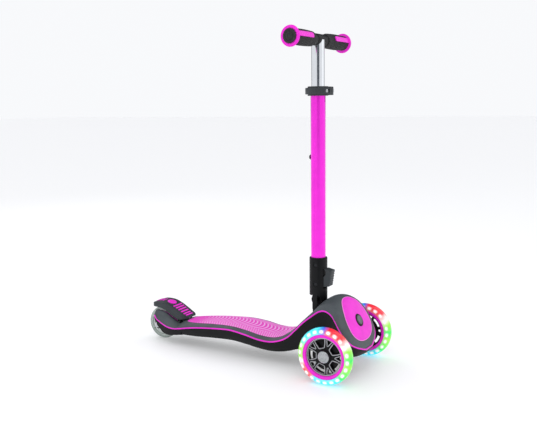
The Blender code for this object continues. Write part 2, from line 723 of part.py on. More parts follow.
def make_front_wheel(side, label):
    """Tyre, coloured band, spoked hub, bearings, axle, nut and cap on one side."""
    centre = (side * WHEEL_X, FRONT_AXLE_Y, FRONT_WHEEL_R)
    outwards = Euler((0.0, side * pi / 2, 0.0))
    tyre_inner = FRONT_WHEEL_R - TYRE_DEPTH
    band_outer = tyre_inner - GAP
    band_inner = band_outer - RIM_BAND
    hub_outer = band_inner - GAP
    window_outer = hub_outer - RIM_RING
    bore = BEARING_R + GAP
    boss = bore + HUB_BOSS_WALL
    half = FRONT_WHEEL_W / 2

    tyre = rounded_tyre(tyre_inner, FRONT_WHEEL_R, FRONT_WHEEL_W, 0.0095)
    turned("front_tyre_" + label, tyre, outwards, centre, CLEAR_FRONT, FINE, closed=True)
    ring("rim_band_" + label, band_inner, band_outer, -half + 0.001, half - 0.001, outwards,
         centre, PINK, FINE, 0.0006)

    windows = []
    for i in range(5):
        middle = 2 * pi * i / 5
        windows.append(petal(middle, radians(20), boss + 0.0030, window_outer))
        windows.append(petal(middle + pi / 5, radians(11), boss + 0.0075, window_outer))
    hub = plate("spoked_hub_" + label, [circle(hub_outer, FINE), circle(bore, COARSE)] + windows,
                0.013, centre, outwards, BLACK)
    collar = ring("hub_boss_" + label, bore, boss, -0.0105, 0.0100, outwards, centre, None, COARSE,
                  home=CUTTERS)
    join(hub, collar)

    ring("inner_bearing_" + label, BEARING_BORE_R, BEARING_R, -0.0100, -0.0100 + BEARING_W,
         outwards, centre, STEEL, COARSE)
    ring("outer_bearing_" + label, BEARING_BORE_R, BEARING_R, -0.0005, -0.0005 + BEARING_W,
         outwards, centre, STEEL, COARSE)
    reach = KINGPIN_X + 0.0105 - WHEEL_X
    head_low = -0.0005 + BEARING_W + GAP
    bolt = [(0.0, head_low + 0.0028), (0.0064, head_low + 0.0028), (0.0070, head_low + 0.0020),
            (0.0070, head_low), (AXLE_R, head_low), (AXLE_R, reach), (0.0, reach)]
    turned("axle_bolt_" + label, bolt, outwards, centre, STEEL, COARSE)
    cap = [(0.0, 0.0003 + HUB_CAP_THICK), (0.0095, 0.0003 + HUB_CAP_THICK),
           (boss - 0.0022, 0.0010), (boss - 0.0022, 0.0), (0.0, 0.0)]
    turned("hub_cap_" + label, cap, outwards, (side * (WHEEL_X + 0.0103), centre[1], centre[2]),
           SILVER, MEDIUM)


def make_knuckle(side, label):
    """The fork that carries a front wheel and turns on its kingpin."""
    half = BEAM_HEIGHT / 2
    lug_r = 0.0090
    web = KINGPIN_X + 0.0095
    low = BEAM_Z - half - 0.0005 - LUG_THICK
    high = BEAM_Z + half + 0.0005 + LUG_THICK

    def at(x, y, z):
        return (side * x, FRONT_AXLE_Y + y, z)

    def sided_box(name, x_low, x_high, y_low, y_high, z_low, z_high, home=CUTTERS):
        xs = sorted((side * x_low, side * x_high))
        return box(name, (xs[0], FRONT_AXLE_Y + y_low, z_low),
                   (xs[1], FRONT_AXLE_Y + y_high, z_high), BLACK, home=home)

    knuckle = sided_box("knuckle_" + label, web, web + WEB_THICK, -0.0100, 0.0100, low, high,
                        SCOOTER)
    for name, z_low in (("lower", low), ("upper", high - LUG_THICK)):
        arm = sided_box(name + "_lug_" + label, KINGPIN_X, web + 0.001, -0.0085, 0.0085,
                        z_low, z_low + LUG_THICK)
        end = rod(name + "_lug_end_" + label, lug_r, z_low, z_low + LUG_THICK, 'Z',
                  at(KINGPIN_X, 0.0, 0.0), None, COARSE, home=CUTTERS)
        join(knuckle, arm)
        join(knuckle, end)
    steer = sided_box("steer_arm_" + label, KINGPIN_X - 0.0035, KINGPIN_X + 0.0035, 0.0,
                      STEER_ARM, low + 0.0002, low + LUG_THICK - 0.0002)
    join(knuckle, steer)
    end = rod("steer_arm_end_" + label, 0.0055, low + 0.0001, low + LUG_THICK - 0.0001, 'Z',
              at(KINGPIN_X, STEER_ARM, 0.0), None, COARSE, home=CUTTERS)
    join(knuckle, end)
    cut(knuckle, rod("kingpin_bore_" + label, KINGPIN_R + GAP, low - 0.01, high + 0.01, 'Z',
                     at(KINGPIN_X, 0.0, 0.0), None, SMALL, home=CUTTERS))
    cut(knuckle, rod("axle_bore_" + label, AXLE_R + GAP, -0.02, 0.02,
                     Euler((0.0, side * pi / 2, 0.0)), at(web + 0.002, 0.0, FRONT_WHEEL_R),
                     None, SMALL, home=CUTTERS))
    joint_bore = 0.0022 + (0.0010 if side > 0 else GAP)
    cut(knuckle, rod("ball_bore_" + label, joint_bore, low - 0.01, high, 'Z',
                     at(KINGPIN_X, STEER_ARM, 0.0), None, SMALL, home=CUTTERS))

    pin = [(0.0, high + 0.0030), (0.0048, high + 0.0030), (0.0052, high + 0.0022),
           (0.0052, high + GAP), (KINGPIN_R, high + GAP), (KINGPIN_R, low - 0.0010),
           (0.0, low - 0.0010)]
    turned("kingpin_" + label, pin, 'Z', at(KINGPIN_X, 0.0, 0.0), STEEL, COARSE)
    return low


def make_steering():
    """The cross beam in the nose, both knuckles and the tie rod."""
    half = BEAM_HEIGHT / 2
    depth = BEAM_DEPTH / 2
    beam = box("steering_beam", (-KINGPIN_X, FRONT_AXLE_Y - depth, BEAM_Z - half),
               (KINGPIN_X, FRONT_AXLE_Y + depth, BEAM_Z + half), STEEL)
    low = 0.0
    for side, label in ((1, "left"), (-1, "right")):
        end = rod("beam_end_" + label, 0.0085, BEAM_Z - half, BEAM_Z + half, 'Z',
                  (side * KINGPIN_X, FRONT_AXLE_Y, 0.0), None, COARSE, home=CUTTERS)
        join(beam, end)
        bore = rod("beam_bore_" + label, KINGPIN_R + GAP, BEAM_Z - half - 0.01,
                   BEAM_Z + half + 0.01, 'Z', (side * KINGPIN_X, FRONT_AXLE_Y, 0.0), None, COARSE,
                   home=CUTTERS)
        cut(beam, bore)
        low = make_knuckle(side, label)
        make_front_wheel(side, label)

    y = FRONT_AXLE_Y + STEER_ARM
    eye_low = low + LUG_THICK + 0.0004
    eye_high = eye_low + 0.0062
    middle = (eye_low + eye_high) / 2
    tie = rod("tie_rod", TIE_ROD_R, -KINGPIN_X + 0.003, KINGPIN_X - 0.003, 'X',
              (0.0, y, middle), STEEL, SMALL)
    for side, label in ((1, "left"), (-1, "right")):
        eye = rod("tie_eye_" + label, 0.0052, eye_low, eye_high, 'Z', (side * KINGPIN_X, y, 0.0),
                  None, COARSE, home=CUTTERS)
        stud = rod("tie_stud_" + label, 0.0022, low - 0.0004, eye_low + 0.001, 'Z',
                   (side * KINGPIN_X, y, 0.0), None, SMALL, home=CUTTERS)
        join(tie, eye)
        join(tie, stud)


def make_cover(chassis):
    """The plate under the nose with its two screws."""
    low_y = FRONT_AXLE_Y - 0.020
    high_y = FRONT_AXLE_Y + 0.048
    half = 0.046
    top = NOSE_FLOOR - GAP
    pocket = box("steering_pocket", (-0.090, FRONT_AXLE_Y - 0.0130, NOSE_FLOOR - 0.010),
                 (0.090, FRONT_AXLE_Y + STEER_ARM + 0.0110, BEAM_Z + 0.0125), None, home=CUTTERS)
    cut(chassis, pocket)
    cover = box("bottom_cover", (-half, low_y, top - COVER_T), (half, high_y, top), BLACK)
    for label, y in (("front", low_y + 0.0035), ("rear", high_y - 0.0035)):
        bore = rod("screw_bore_" + label, SCREW_R + GAP, top - 0.010, top + 0.008, 'Z',
                   (0.0, y, 0.0), None, SMALL, home=CUTTERS)
        cut(cover, bore)
        cut(chassis, bore)
        under = top - COVER_T - GAP
        screw = [(0.0, top + 0.0065), (SCREW_R, top + 0.0065), (SCREW_R, under),
                 (0.0032, under), (0.0026, under - 0.0014), (0.0, under - 0.0014)]
        turned("cover_screw_" + label, screw, 'Z', (0.0, y, 0.0), STEEL, SMALL)


# ---------------------------------------------------------------- rear wheel and brake
def make_rear_wheel(chassis):
    """Tyre, core, bearings, bolt and nut between the rear arms."""
    centre = (0.0, REAR_AXLE_Y, REAR_WHEEL_R)
    tyre_inner = REAR_WHEEL_R - TYRE_DEPTH
    core_outer = tyre_inner - GAP
    bore = BEARING_R + GAP
    half = REAR_WHEEL_W / 2
    tyre = rounded_tyre(tyre_inner, REAR_WHEEL_R, REAR_WHEEL_W, 0.0095)
    turned("rear_tyre", tyre, 'X', centre, CLEAR_REAR, FINE, closed=True)

    slots = []
    for i in range(8):
        middle = 2 * pi * i / 8
        spread = radians(13)
        inner = bore + 0.0040
        outer = core_outer - 0.0028
        slots.append([(r * cos(middle + a), r * sin(middle + a))
                      for r, a in ((inner, -spread), (outer, -spread), (outer, spread),
                                   (inner, spread))])
    core = plate("rear_core", [circle(core_outer, FINE), circle(bore, COARSE)] + slots, 0.0150,
                 centre, AXIS_TURN['X'], WHITE)
    sleeve = ring("core_sleeve", bore, bore + 0.0030, -half + 0.001, half - 0.001, 'X', centre,
                  None, COARSE, home=CUTTERS)
    join(core, sleeve)
    ring("rear_bearing", BEARING_BORE_R, BEARING_R, -half + 0.0015, half - 0.0015, 'X', centre,
         STEEL, COARSE)

    outer_face = 0.0270
    bolt = [(0.0, outer_face + 0.0050), (AXLE_R, outer_face + 0.0050), (AXLE_R, -outer_face - GAP),
            (0.0072, -outer_face - GAP), (0.0066, -outer_face - 0.0042),
            (0.0, -outer_face - 0.0042)]
    turned("rear_axle_bolt", bolt, 'X', centre, STEEL, COARSE)
    nut = plate("rear_axle_nut", [circle(0.0075, 6), circle(AXLE_R + GAP, SMALL)], 0.0042,
                centre, AXIS_TURN['X'], STEEL)
    nut.location.x = outer_face + GAP + 0.0021
    for side, label in ((1, "left"), (-1, "right")):
        relief = rod("bolt_recess_" + label, 0.0105, outer_face, outer_face + 0.020,
                     Euler((0.0, side * pi / 2, 0.0)), centre, None, COARSE, home=CUTTERS)
        cut(chassis, relief)
    cut(chassis, rod("bolt_bore", AXLE_R + GAP, -0.05, 0.05, 'X', centre, None, COARSE, home=CUTTERS))


BRAKE_TOP = [(0.0200, 0.0850), (0.0194, 0.0910), (0.0150, 0.0942), (0.0050, 0.0962),
             (-0.0050, 0.0968), (-0.0176, 0.0960), (-0.0286, 0.0935), (-0.0446, 0.0865),
             (-0.0586, 0.0785), (-0.0696, 0.0712), (-0.0800, 0.0675), (-0.0850, 0.0655)]
BRAKE_UNDER = [(-0.0850, 0.0630), (-0.0760, 0.0620), (-0.0690, 0.0600), (-0.0586, 0.0590),
               (-0.0446, 0.0645), (-0.0336, 0.0715), (-0.0226, 0.0785), (-0.0096, 0.0825),
               (0.0014, 0.0832), (0.0100, 0.0834), (0.0170, 0.0832)]
BRAKE_PIVOT = (-0.0640, 0.0550)


def make_brake(chassis, frame):
    """The foot brake over the rear wheel, with its pivot pin, spring and insert."""
    centre = (0.0, REAR_AXLE_Y, 0.0)
    brake = plate("brake_lever", [BRAKE_TOP + BRAKE_UNDER], 2 * BRAKE_HALF_WIDTH, centre,
                  SIDE_VIEW, GREY)
    soften(brake, 0.0018, 1, 50)
    pivot = (0.0, REAR_AXLE_Y + BRAKE_PIVOT[0], BRAKE_PIVOT[1])
    hub_low = -ARM_INNER_X + 0.0010
    hub_high = 0.0055
    hub = rod("brake_hub", 0.0062, hub_low, hub_high, 'X', pivot, None, COARSE, home=CUTTERS)
    join(brake, hub)
    cut(brake, rod("brake_bore", BRAKE_PIN_R + GAP, -0.05, 0.05, 'X', pivot, None, SMALL,
                   home=CUTTERS))
    spring_room = rod("spring_room", 0.0064, hub_high, ARM_INNER_X - 0.0002, 'X', pivot, None, COARSE,
                      home=CUTTERS)
    cut(brake, spring_room)
    rod("brake_pin", BRAKE_PIN_R, -0.0250, 0.0250, 'X', pivot, STEEL, SMALL, 0.0003)
    spring = wire("brake_spring", coil(5, 0.0047, 0.0080), 0.0006, STEEL, 0)
    spring.location = (hub_high + 0.0014, pivot[1], pivot[2])
    spring.rotation_euler = AXIS_TURN['X']

    well_x = ARM_INNER_X + 0.0002
    well = box("brake_well", (-well_x, pivot[1] - 0.0085, pivot[2] - 0.0085),
               (well_x, pivot[1] + 0.0300, 0.120), None, home=CUTTERS)
    pin_hole = rod("pin_hole", BRAKE_PIN_R + GAP, -0.0255, 0.0255, 'X', pivot, None, SMALL,
                   home=CUTTERS)
    foot_room = plate("foot_room", [[(-0.0870, 0.0614), (-0.0600, 0.0560), (-0.0440, 0.0620),
                                     (-0.0320, 0.0700), (-0.0200, 0.0760), (0.0200, 0.0790),
                                     (0.0200, 0.1200), (-0.0870, 0.1200)]],
                      2 * BRAKE_HALF_WIDTH + 0.0020, centre, SIDE_VIEW, None, CUTTERS)
    for made in (chassis, frame):
        cut(made, well)
        cut(made, pin_hole)
        cut(made, foot_room)

    insert_t = 0.0016
    rows = [(-0.0300, 0.0929), (-0.0446, 0.0865), (-0.0586, 0.0785), (-0.0680, 0.0723)]
    outline = [(y, z + insert_t) for y, z in rows] + [(y, z) for y, z in reversed(rows)]
    insert = plate("brake_insert", [outline], 0.030, centre, SIDE_VIEW, PINK)
    insert.location.z += 0.0004
    recess = plate("insert_recess", [[(y, z + 0.010) for y, z in rows]
                                     + [(y, z - GAP) for y, z in reversed(rows)]],
                   0.030 + 2 * GAP, centre, SIDE_VIEW, None, CUTTERS)
    recess.location.z += 0.0004
    cut(brake, recess)


# ---------------------------------------------------------------- stem and fold
def make_fold(chassis, frame):
    """The tongue on the nose, the pivot pin, the housing and its release lever."""
    pivot = (0.0, STEM_WORLD_Y, PIVOT_Z)
    scoop = rod("housing_scoop", HOUSING_R + 0.0012, -HOUSING_R - 0.0015, HOUSING_R + 0.0015, 'X',
                pivot, None, MEDIUM, home=CUTTERS)
    tongue_r = 0.0130
    foot_y = STEM_WORLD_Y - 0.0105
    tongue = rod("fold_bracket", tongue_r, -TONGUE_HALF_WIDTH, TONGUE_HALF_WIDTH, 'X', pivot,
                 STEEL, MEDIUM)
    foot = box("tongue_foot", (-TONGUE_HALF_WIDTH, foot_y, PIVOT_Z - 0.050),
               (TONGUE_HALF_WIDTH, foot_y + 0.0205, PIVOT_Z), None, home=CUTTERS)
    base = box("tongue_base", (-0.0180, foot_y - 0.006, PIVOT_Z - 0.053),
               (0.0180, foot_y + 0.024, PIVOT_Z - 0.044), None, home=CUTTERS)
    join(tongue, foot)
    join(tongue, base)
    cut(tongue, rod("fold_bore", FOLD_PIN_R + GAP, -0.05, 0.05, 'X', pivot, None, COARSE,
                    home=CUTTERS))
    foot_hole = box("foot_hole", (-TONGUE_HALF_WIDTH - GAP, foot_y - GAP, PIVOT_Z - 0.046),
                    (TONGUE_HALF_WIDTH + GAP, foot_y + 0.0205 + GAP, PIVOT_Z + 0.02), None,
                    home=CUTTERS)
    base_hole = box("base_hole", (-0.0180 - GAP, foot_y - 0.006 - GAP, NOSE_FLOOR - 0.02),
                    (0.0180 + GAP, foot_y + 0.024 + GAP, PIVOT_Z - 0.044 + GAP), None,
                    home=CUTTERS)
    for made in (chassis, frame):
        cut(made, scoop)
        cut(made, foot_hole)
    cut(chassis, base_hole)

    bore = STEM_TUBE_R + GAP
    ledge = STEM_TUBE_R - STEM_TUBE_WALL
    top = HOUSING_TOP
    profile = [(0.0, TUBE_FOOT - 0.0060), (ledge, TUBE_FOOT - 0.0060), (ledge, TUBE_FOOT - GAP),
               (bore, TUBE_FOOT - GAP), (bore, top), (HOUSING_R - 0.0016, top),
               (HOUSING_R, top - 0.0016), (HOUSING_R, PIVOT_Z), (0.0, PIVOT_Z)]
    housing = turned("stem_housing", profile, 'Z', (0.0, STEM_WORLD_Y, 0.0), BLACK, MEDIUM)
    knuckle_end = rod("housing_end", HOUSING_R, -HOUSING_R * 0.86, HOUSING_R * 0.86, 'X', pivot,
                      None, MEDIUM, 0.0020, home=CUTTERS)
    join(housing, knuckle_end)
    slot_half = TONGUE_HALF_WIDTH + 0.0006
    slot = rod("tongue_slot", tongue_r + 0.0008, -slot_half, slot_half, 'X', pivot, None, MEDIUM,
               home=CUTTERS)
    down_slot = box("down_slot", (-slot_half, STEM_WORLD_Y - tongue_r - 0.0008, PIVOT_Z - 0.04),
                    (slot_half, STEM_WORLD_Y + 0.04, PIVOT_Z), None, home=CUTTERS)
    front_slot = box("front_slot", (-slot_half, STEM_WORLD_Y - 0.04, PIVOT_Z - 0.04),
                     (slot_half, STEM_WORLD_Y, PIVOT_Z), None, home=CUTTERS)
    rear_slot = box("rear_slot", (-slot_half, STEM_WORLD_Y - 0.0001, PIVOT_Z - 0.04),
                    (slot_half, STEM_WORLD_Y + 0.04, PIVOT_Z + 0.0110), None, home=CUTTERS)
    for tool in (slot, down_slot, front_slot, rear_slot):
        cut(housing, tool)
    cut(housing, rod("pin_bore", FOLD_PIN_R + GAP, -0.05, 0.05, 'X', pivot, None, COARSE,
                     home=CUTTERS))
    rod("fold_pin", FOLD_PIN_R, -0.0166, 0.0166, 'X', pivot, STEEL, COARSE)
    return housing


LEVER_OUTLINE = [(-0.0186, 0.2178), (-0.0200, 0.2182), (-0.0346, 0.2151), (-0.0352, 0.2140),
                 (-0.0300, 0.1815), (-0.0288, 0.1800), (-0.0190, 0.1786), (-0.0060, 0.1775),
                 (0.0030, 0.1790), (0.0050, 0.1847), (0.0030, 0.1905), (-0.0040, 0.1925),
                 (-0.0170, 0.2000), (-0.0215, 0.2060), (-0.0222, 0.2110)]


def make_release(housing):
    """The squeeze lever on the housing's front, its pin, spring and the clamp bolt."""
    centre = (0.0, STEM_WORLD_Y, 0.0)
    lever = plate("fold_lever", [LEVER_OUTLINE], 2 * LEVER_HALF_WIDTH, centre, SIDE_VIEW, GREY)
    pin_at = (0.0, STEM_WORLD_Y - 0.002, LEVER_PIN_Z)
    cut(lever, rod("lever_bore", 0.0025 + GAP, -0.05, 0.05, 'X', pin_at, None, SMALL, home=CUTTERS))
    room = plate("lever_room", [[(-0.0400, 0.2245), (-0.0400, 0.1745), (0.0080, 0.1745),
                                 (0.0080, 0.1960), (-0.0060, 0.1990), (-0.0155, 0.2030),
                                 (-0.0155, 0.2245)]],
                 2 * LEVER_HALF_WIDTH + 0.0012, centre, SIDE_VIEW, None, CUTTERS)
    cut(housing, room)
    radius = 0.0025
    for name, z in (("lever_pin", LEVER_PIN_Z), ("clamp_bolt", CLAMP_BOLT_Z)):
        at = (0.0, STEM_WORLD_Y - 0.002, z)
        end = HOUSING_R - 0.0012
        seat = STEM_TUBE_R + 0.0006
        head = [(0.0, end - 0.0014), (radius, end - 0.0014), (radius, -seat),
                (0.0046, -seat), (0.0046, -end + 0.0003), (0.0040, -end - 0.0003),
                (0.0, -end - 0.0003)]
        turned(name, head, 'X', at, STEEL, SMALL)
        bore = [(0.0, 0.05), (radius + GAP, 0.05), (radius + GAP, -seat + GAP),
                (0.0046 + GAP, -seat + GAP), (0.0046 + GAP, -0.05), (0.0, -0.05)]
        cut(housing, turned(name + "_bore", bore, 'X', at, None, SMALL, home=CUTTERS))


def make_stem():
    """The pink lower tube, the clamp collar, its quick release and the height pin."""
    centre = (0.0, STEM_WORLD_Y, 0.0)
    inner = STEM_TUBE_R - STEM_TUBE_WALL
    tube = ring("stem_tube", inner, STEM_TUBE_R, TUBE_FOOT, STEM_TOP, 'Z', centre, MAGENTA, MEDIUM)
    bolt_bore = rod("tube_bolt_bore", 0.0025 + GAP, -0.03, 0.03, 'X',
                    (0.0, STEM_WORLD_Y - 0.002, CLAMP_BOLT_Z), None, SMALL, home=CUTTERS)
    cut(tube, bolt_bore)
    cut(tube, box("clamp_slit", (-0.0012, STEM_WORLD_Y - 0.03, COLLAR_Z - COLLAR_HEIGHT / 2 - 0.012),
                  (0.0012, STEM_WORLD_Y, STEM_TOP + 0.01), None, home=CUTTERS))

    low = COLLAR_Z - COLLAR_HEIGHT / 2
    high = COLLAR_Z + COLLAR_HEIGHT / 2
    collar_r = STEM_TUBE_R + GAP + COLLAR_WALL
    lip = INNER_TUBE_R + 0.0006
    profile = [(collar_r - 0.0010, high), (collar_r, high - 0.0010), (collar_r, low + 0.0010),
               (collar_r - 0.0010, low), (STEM_TUBE_R + GAP, low),
               (STEM_TUBE_R + GAP, STEM_TOP + GAP), (lip, STEM_TOP + GAP), (lip, high)]
    collar = turned("tube_collar", profile, 'Z', centre, GREY, MEDIUM, closed=True)
    ear_y = STEM_WORLD_Y - collar_r - 0.0045
    ears = box("collar_ears", (-0.0085, ear_y - 0.0055, low + 0.001),
               (0.0085, STEM_WORLD_Y - STEM_TUBE_R - 0.0015, high - 0.001), None, home=CUTTERS)
    join(collar, ears)
    split = box("collar_split", (-0.0012, STEM_WORLD_Y - 0.06, low - 0.01),
                (0.0012, STEM_WORLD_Y - lip + 0.004, high + 0.01), None, home=CUTTERS)
    cut(collar, split)
    bolt_at = (0.0, ear_y, COLLAR_Z)
    cut(collar, rod("collar_bore", 0.0025 + GAP, -0.03, 0.03, 'X', bolt_at, None, SMALL,
                    home=CUTTERS))
    bolt = rod("collar_bolt", 0.0025, -0.0085 - 0.0066, 0.0140, 'X', bolt_at, STEEL, SMALL)
    nut = plate("collar_nut", [circle(0.0050, 6), circle(0.0025 + GAP, SMALL)], 0.0040, bolt_at,
                AXIS_TURN['X'], CHROME)
    nut.location.x = 0.0085 + GAP + 0.0020

    barrel_x = -0.0085 - 0.0066
    join(bolt, rod("release_barrel", BARREL_R, low + 0.0040, high - 0.0040, 'Z',
                   (barrel_x, ear_y, 0.0), None, SMALL, home=CUTTERS))
    cam_r = 0.0060
    lever_r = collar_r + 0.0008
    outer_r = lever_r + 0.0040
    pivot_y = ear_y - STEM_WORLD_Y
    start = radians(205)
    end = radians(105)
    steps = 10
    inside = []
    outside = []
    for i in range(steps + 1):
        angle = start + (end - start) * i / steps
        inside.append((lever_r * cos(angle), lever_r * sin(angle)))
        outside.append((outer_r * cos(angle), outer_r * sin(angle)))
    foot = [(barrel_x - 0.0056, pivot_y + 0.0005), (barrel_x - 0.0030, pivot_y - 0.0020),
            (barrel_x + 0.0030, pivot_y + 0.0040)]
    outline = outside[::-1] + foot + inside
    release = plate("quick_release_lever", [outline], COLLAR_HEIGHT - 0.006,
                    (0.0, STEM_WORLD_Y, COLLAR_Z), AXIS_TURN['Z'], GREY)
    cam = rod("release_cam", cam_r, -(COLLAR_HEIGHT - 0.006) / 2, (COLLAR_HEIGHT - 0.006) / 2,
              'Z', (barrel_x, ear_y, COLLAR_Z), None, COARSE, home=CUTTERS)
    join(release, cam)
    cut(release, rod("cam_bore", BARREL_R + GAP, -0.03, 0.03, 'Z', (barrel_x, ear_y, COLLAR_Z),
                     None, SMALL, home=CUTTERS))
    slot_half = 0.0032
    cut(release, box("bolt_slot", (barrel_x - 0.001, ear_y - 0.02, COLLAR_Z - slot_half),
                     (0.03, ear_y + 0.0045, COLLAR_Z + slot_half), None, home=CUTTERS))
    cut(release, box("swing_slot", (barrel_x - 0.012, ear_y - 0.02, COLLAR_Z - slot_half),
                     (barrel_x, ear_y, COLLAR_Z + slot_half), None, home=CUTTERS))

    pin_inner = INNER_TUBE_R + 0.0004
    pin_at = (0.0, STEM_WORLD_Y, HEIGHT_PIN_Z)
    head_r = HEIGHT_PIN_R + 0.0018
    seat = STEM_TUBE_R + 0.0006
    pin = [(0.0, seat + 0.0030), (head_r - 0.0010, seat + 0.0030), (head_r, seat + 0.0020),
           (head_r, seat), (HEIGHT_PIN_R, seat), (HEIGHT_PIN_R, pin_inner), (0.0, pin_inner)]
    turned("height_pin", pin, 'Y', pin_at, BLACK, COARSE)
    pin_bore = rod("pin_hole_tube", HEIGHT_PIN_R + GAP, 0.0, 0.03, 'Y', pin_at, None, COARSE,
                   home=CUTTERS)
    cut(tube, pin_bore)


# ---------------------------------------------------------------- handlebar
def make_handlebar():
    """The chrome tube with its row of holes, the crossbar, grips and end caps."""
    centre = (0.0, STEM_WORLD_Y, 0.0)
    bar_at = (0.0, STEM_WORLD_Y, HANDLEBAR_Z)
    tube = ring("inner_tube", INNER_TUBE_R - INNER_TUBE_WALL, INNER_TUBE_R, INNER_TUBE_FOOT,
                HANDLEBAR_Z, 'Z', centre, CHROME, MEDIUM)
    cut(tube, rod("cope", CROSSBAR_R + GAP, -0.05, 0.05, 'X', bar_at, None, MEDIUM, home=CUTTERS))
    for i in range(4):
        hole = rod("height_hole_%d" % i, HEIGHT_PIN_R + GAP, 0.0, 0.03, 'Y',
                   (0.0, STEM_WORLD_Y, HEIGHT_PIN_Z + (1 - i) * HEIGHT_STEP), None, SMALL,
                   home=CUTTERS)
        cut(tube, hole)

    flange_end = FLANGE_X + FLANGE_T
    ring("crossbar", CROSSBAR_R - 0.0018, CROSSBAR_R, -flange_end + 0.001, flange_end - 0.001,
         'X', bar_at, BLACK, MEDIUM)
    for side, label in ((1, "left"), (-1, "right")):
        make_grip(side, label, bar_at)


def make_grip(side, label, bar_at):
    """One rubber grip with its coloured flange and end cap."""
    outwards = Euler((0.0, side * pi / 2, 0.0))
    inner = CROSSBAR_R + GAP
    profile = [(inner, FLANGE_X - GAP), (GRIP_R + 0.0006, FLANGE_X - GAP)]
    steps = 5
    for i in range(steps):
        share = i / (steps - 1)
        x = FLANGE_X - 0.006 - share * (FLANGE_X - GRIP_START - 0.014)
        swell = 0.0012 * sin(share * pi)
        profile.append((GRIP_R + swell, x))
    profile += [(GRIP_R - 0.0010, GRIP_START + 0.0040), (GRIP_R - 0.0030, GRIP_START + 0.0008),
                (GRIP_R - 0.0030, GRIP_START), (inner, GRIP_START)]
    grip = turned("grip_" + label, profile, outwards, bar_at, RUBBER, MEDIUM, closed=True)

    flange = ring("grip_flange_" + label, CROSSBAR_R + GAP, FLANGE_R, FLANGE_X,
                  FLANGE_X + FLANGE_T, outwards, bar_at, PINK, FINE, 0.0012)
    prong_end = 0.052
    tilt = Matrix.Rotation(radians(-18), 3, 'X')
    for name, tool_width, depth, end, owner in (
            ("prong_", 0.0085, 0.0, prong_end, flange),
            ("prong_groove_", 0.0085 + 2 * GAP, GAP, prong_end - GAP, grip)):
        xs = sorted((side * end, side * (FLANGE_X + 0.001)))
        reach = GRIP_R + (0.0012 if owner is flange else 0.0060)
        tool = box(name + label, (xs[0], -reach, -tool_width / 2),
                   (xs[1], -GRIP_R + 0.0022 + depth, tool_width / 2), None, home=CUTTERS)
        for vert in tool.data.vertices:
            vert.co = tilt @ vert.co
        tool.location = bar_at
        if owner is flange:
            join(flange, tool)
        else:
            cut(grip, tool)

    cap = [(0.0, FLANGE_X + FLANGE_T + GAP + END_CAP_T), (END_CAP_R - 0.0010,
           FLANGE_X + FLANGE_T + GAP + END_CAP_T), (END_CAP_R, FLANGE_X + FLANGE_T + GAP + 0.0012),
           (END_CAP_R, FLANGE_X + FLANGE_T + GAP), (0.0, FLANGE_X + FLANGE_T + GAP)]
    turned("end_cap_" + label, cap, outwards, bar_at, RUBBER, MEDIUM)


FRAME, CHASSIS, BADGE = make_body()
make_steering()
make_cover(CHASSIS)
make_rear_wheel(CHASSIS)
make_brake(CHASSIS, FRAME)
HOUSING = make_fold(CHASSIS, FRAME)
make_release(HOUSING)
make_stem()
make_handlebar()
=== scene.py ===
# %% Start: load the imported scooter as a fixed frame
import json
from math import asin, atan2, cos, pi, radians, sin, sqrt

import bpy
from mathutils import Euler, Matrix, Vector


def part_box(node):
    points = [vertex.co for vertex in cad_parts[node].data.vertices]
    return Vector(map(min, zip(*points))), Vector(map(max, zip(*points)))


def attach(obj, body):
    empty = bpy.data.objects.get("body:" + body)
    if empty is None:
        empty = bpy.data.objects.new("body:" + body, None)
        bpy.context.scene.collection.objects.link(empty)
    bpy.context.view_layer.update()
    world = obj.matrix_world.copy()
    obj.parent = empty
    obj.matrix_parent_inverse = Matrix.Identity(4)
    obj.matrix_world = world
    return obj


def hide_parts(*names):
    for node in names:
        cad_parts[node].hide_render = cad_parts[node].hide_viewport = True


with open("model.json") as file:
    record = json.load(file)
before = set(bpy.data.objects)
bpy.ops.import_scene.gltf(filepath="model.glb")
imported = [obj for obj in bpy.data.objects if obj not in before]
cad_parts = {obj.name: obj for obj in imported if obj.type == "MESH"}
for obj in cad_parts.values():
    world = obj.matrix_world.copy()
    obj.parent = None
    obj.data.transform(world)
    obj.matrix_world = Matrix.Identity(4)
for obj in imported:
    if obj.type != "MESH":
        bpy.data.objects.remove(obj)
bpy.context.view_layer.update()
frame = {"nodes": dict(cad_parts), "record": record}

print("frame holds", len(frame["nodes"]), "nodes")

# %% [markdown]
# Everything below is placed from the frame. The three places used most are the two
# wheel axles and the upright stem, so they are measured once from the CAD nodes that
# mark them, and every later piece is given as a distance from one of these.

# %% Measure the driving places
def centre_of(node):
    """The middle of a CAD node's box."""
    low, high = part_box(node)
    return (low + high) / 2


def height_of(node):
    """A CAD node's lowest and highest z."""
    low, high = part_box(node)
    return low.z, high.z


FRONT_AXLE = Vector((0.0, centre_of("front_tyre_left").y, centre_of("front_tyre_left").z))
REAR_AXLE = Vector((0.0, centre_of("rear_tyre").y, centre_of("rear_tyre").z))
STEM_Y = centre_of("stem_tube").y
WHEEL_X = centre_of("front_tyre_left").x
BAR = Vector((0.0, STEM_Y, centre_of("crossbar").z))
SIDES = ((1, "left"), (-1, "right"))
UPRIGHT = Matrix.Identity(4)
ON_STEM = Vector((0.0, STEM_Y, 0.0))
ON_AXLE = Vector((0.0, REAR_AXLE.y, 0.0))


def wheel_centre(side):
    """The middle of one front wheel."""
    return Vector((side * WHEEL_X, FRONT_AXLE.y, FRONT_AXLE.z))


def facing_out(side):
    """The turn that points a part made about +Z to the left (1) or the right (-1)."""
    return Matrix.Rotation(side * pi / 2, 4, 'Y')


print("front axle", FRONT_AXLE, "rear axle", REAR_AXLE, "bar", BAR)

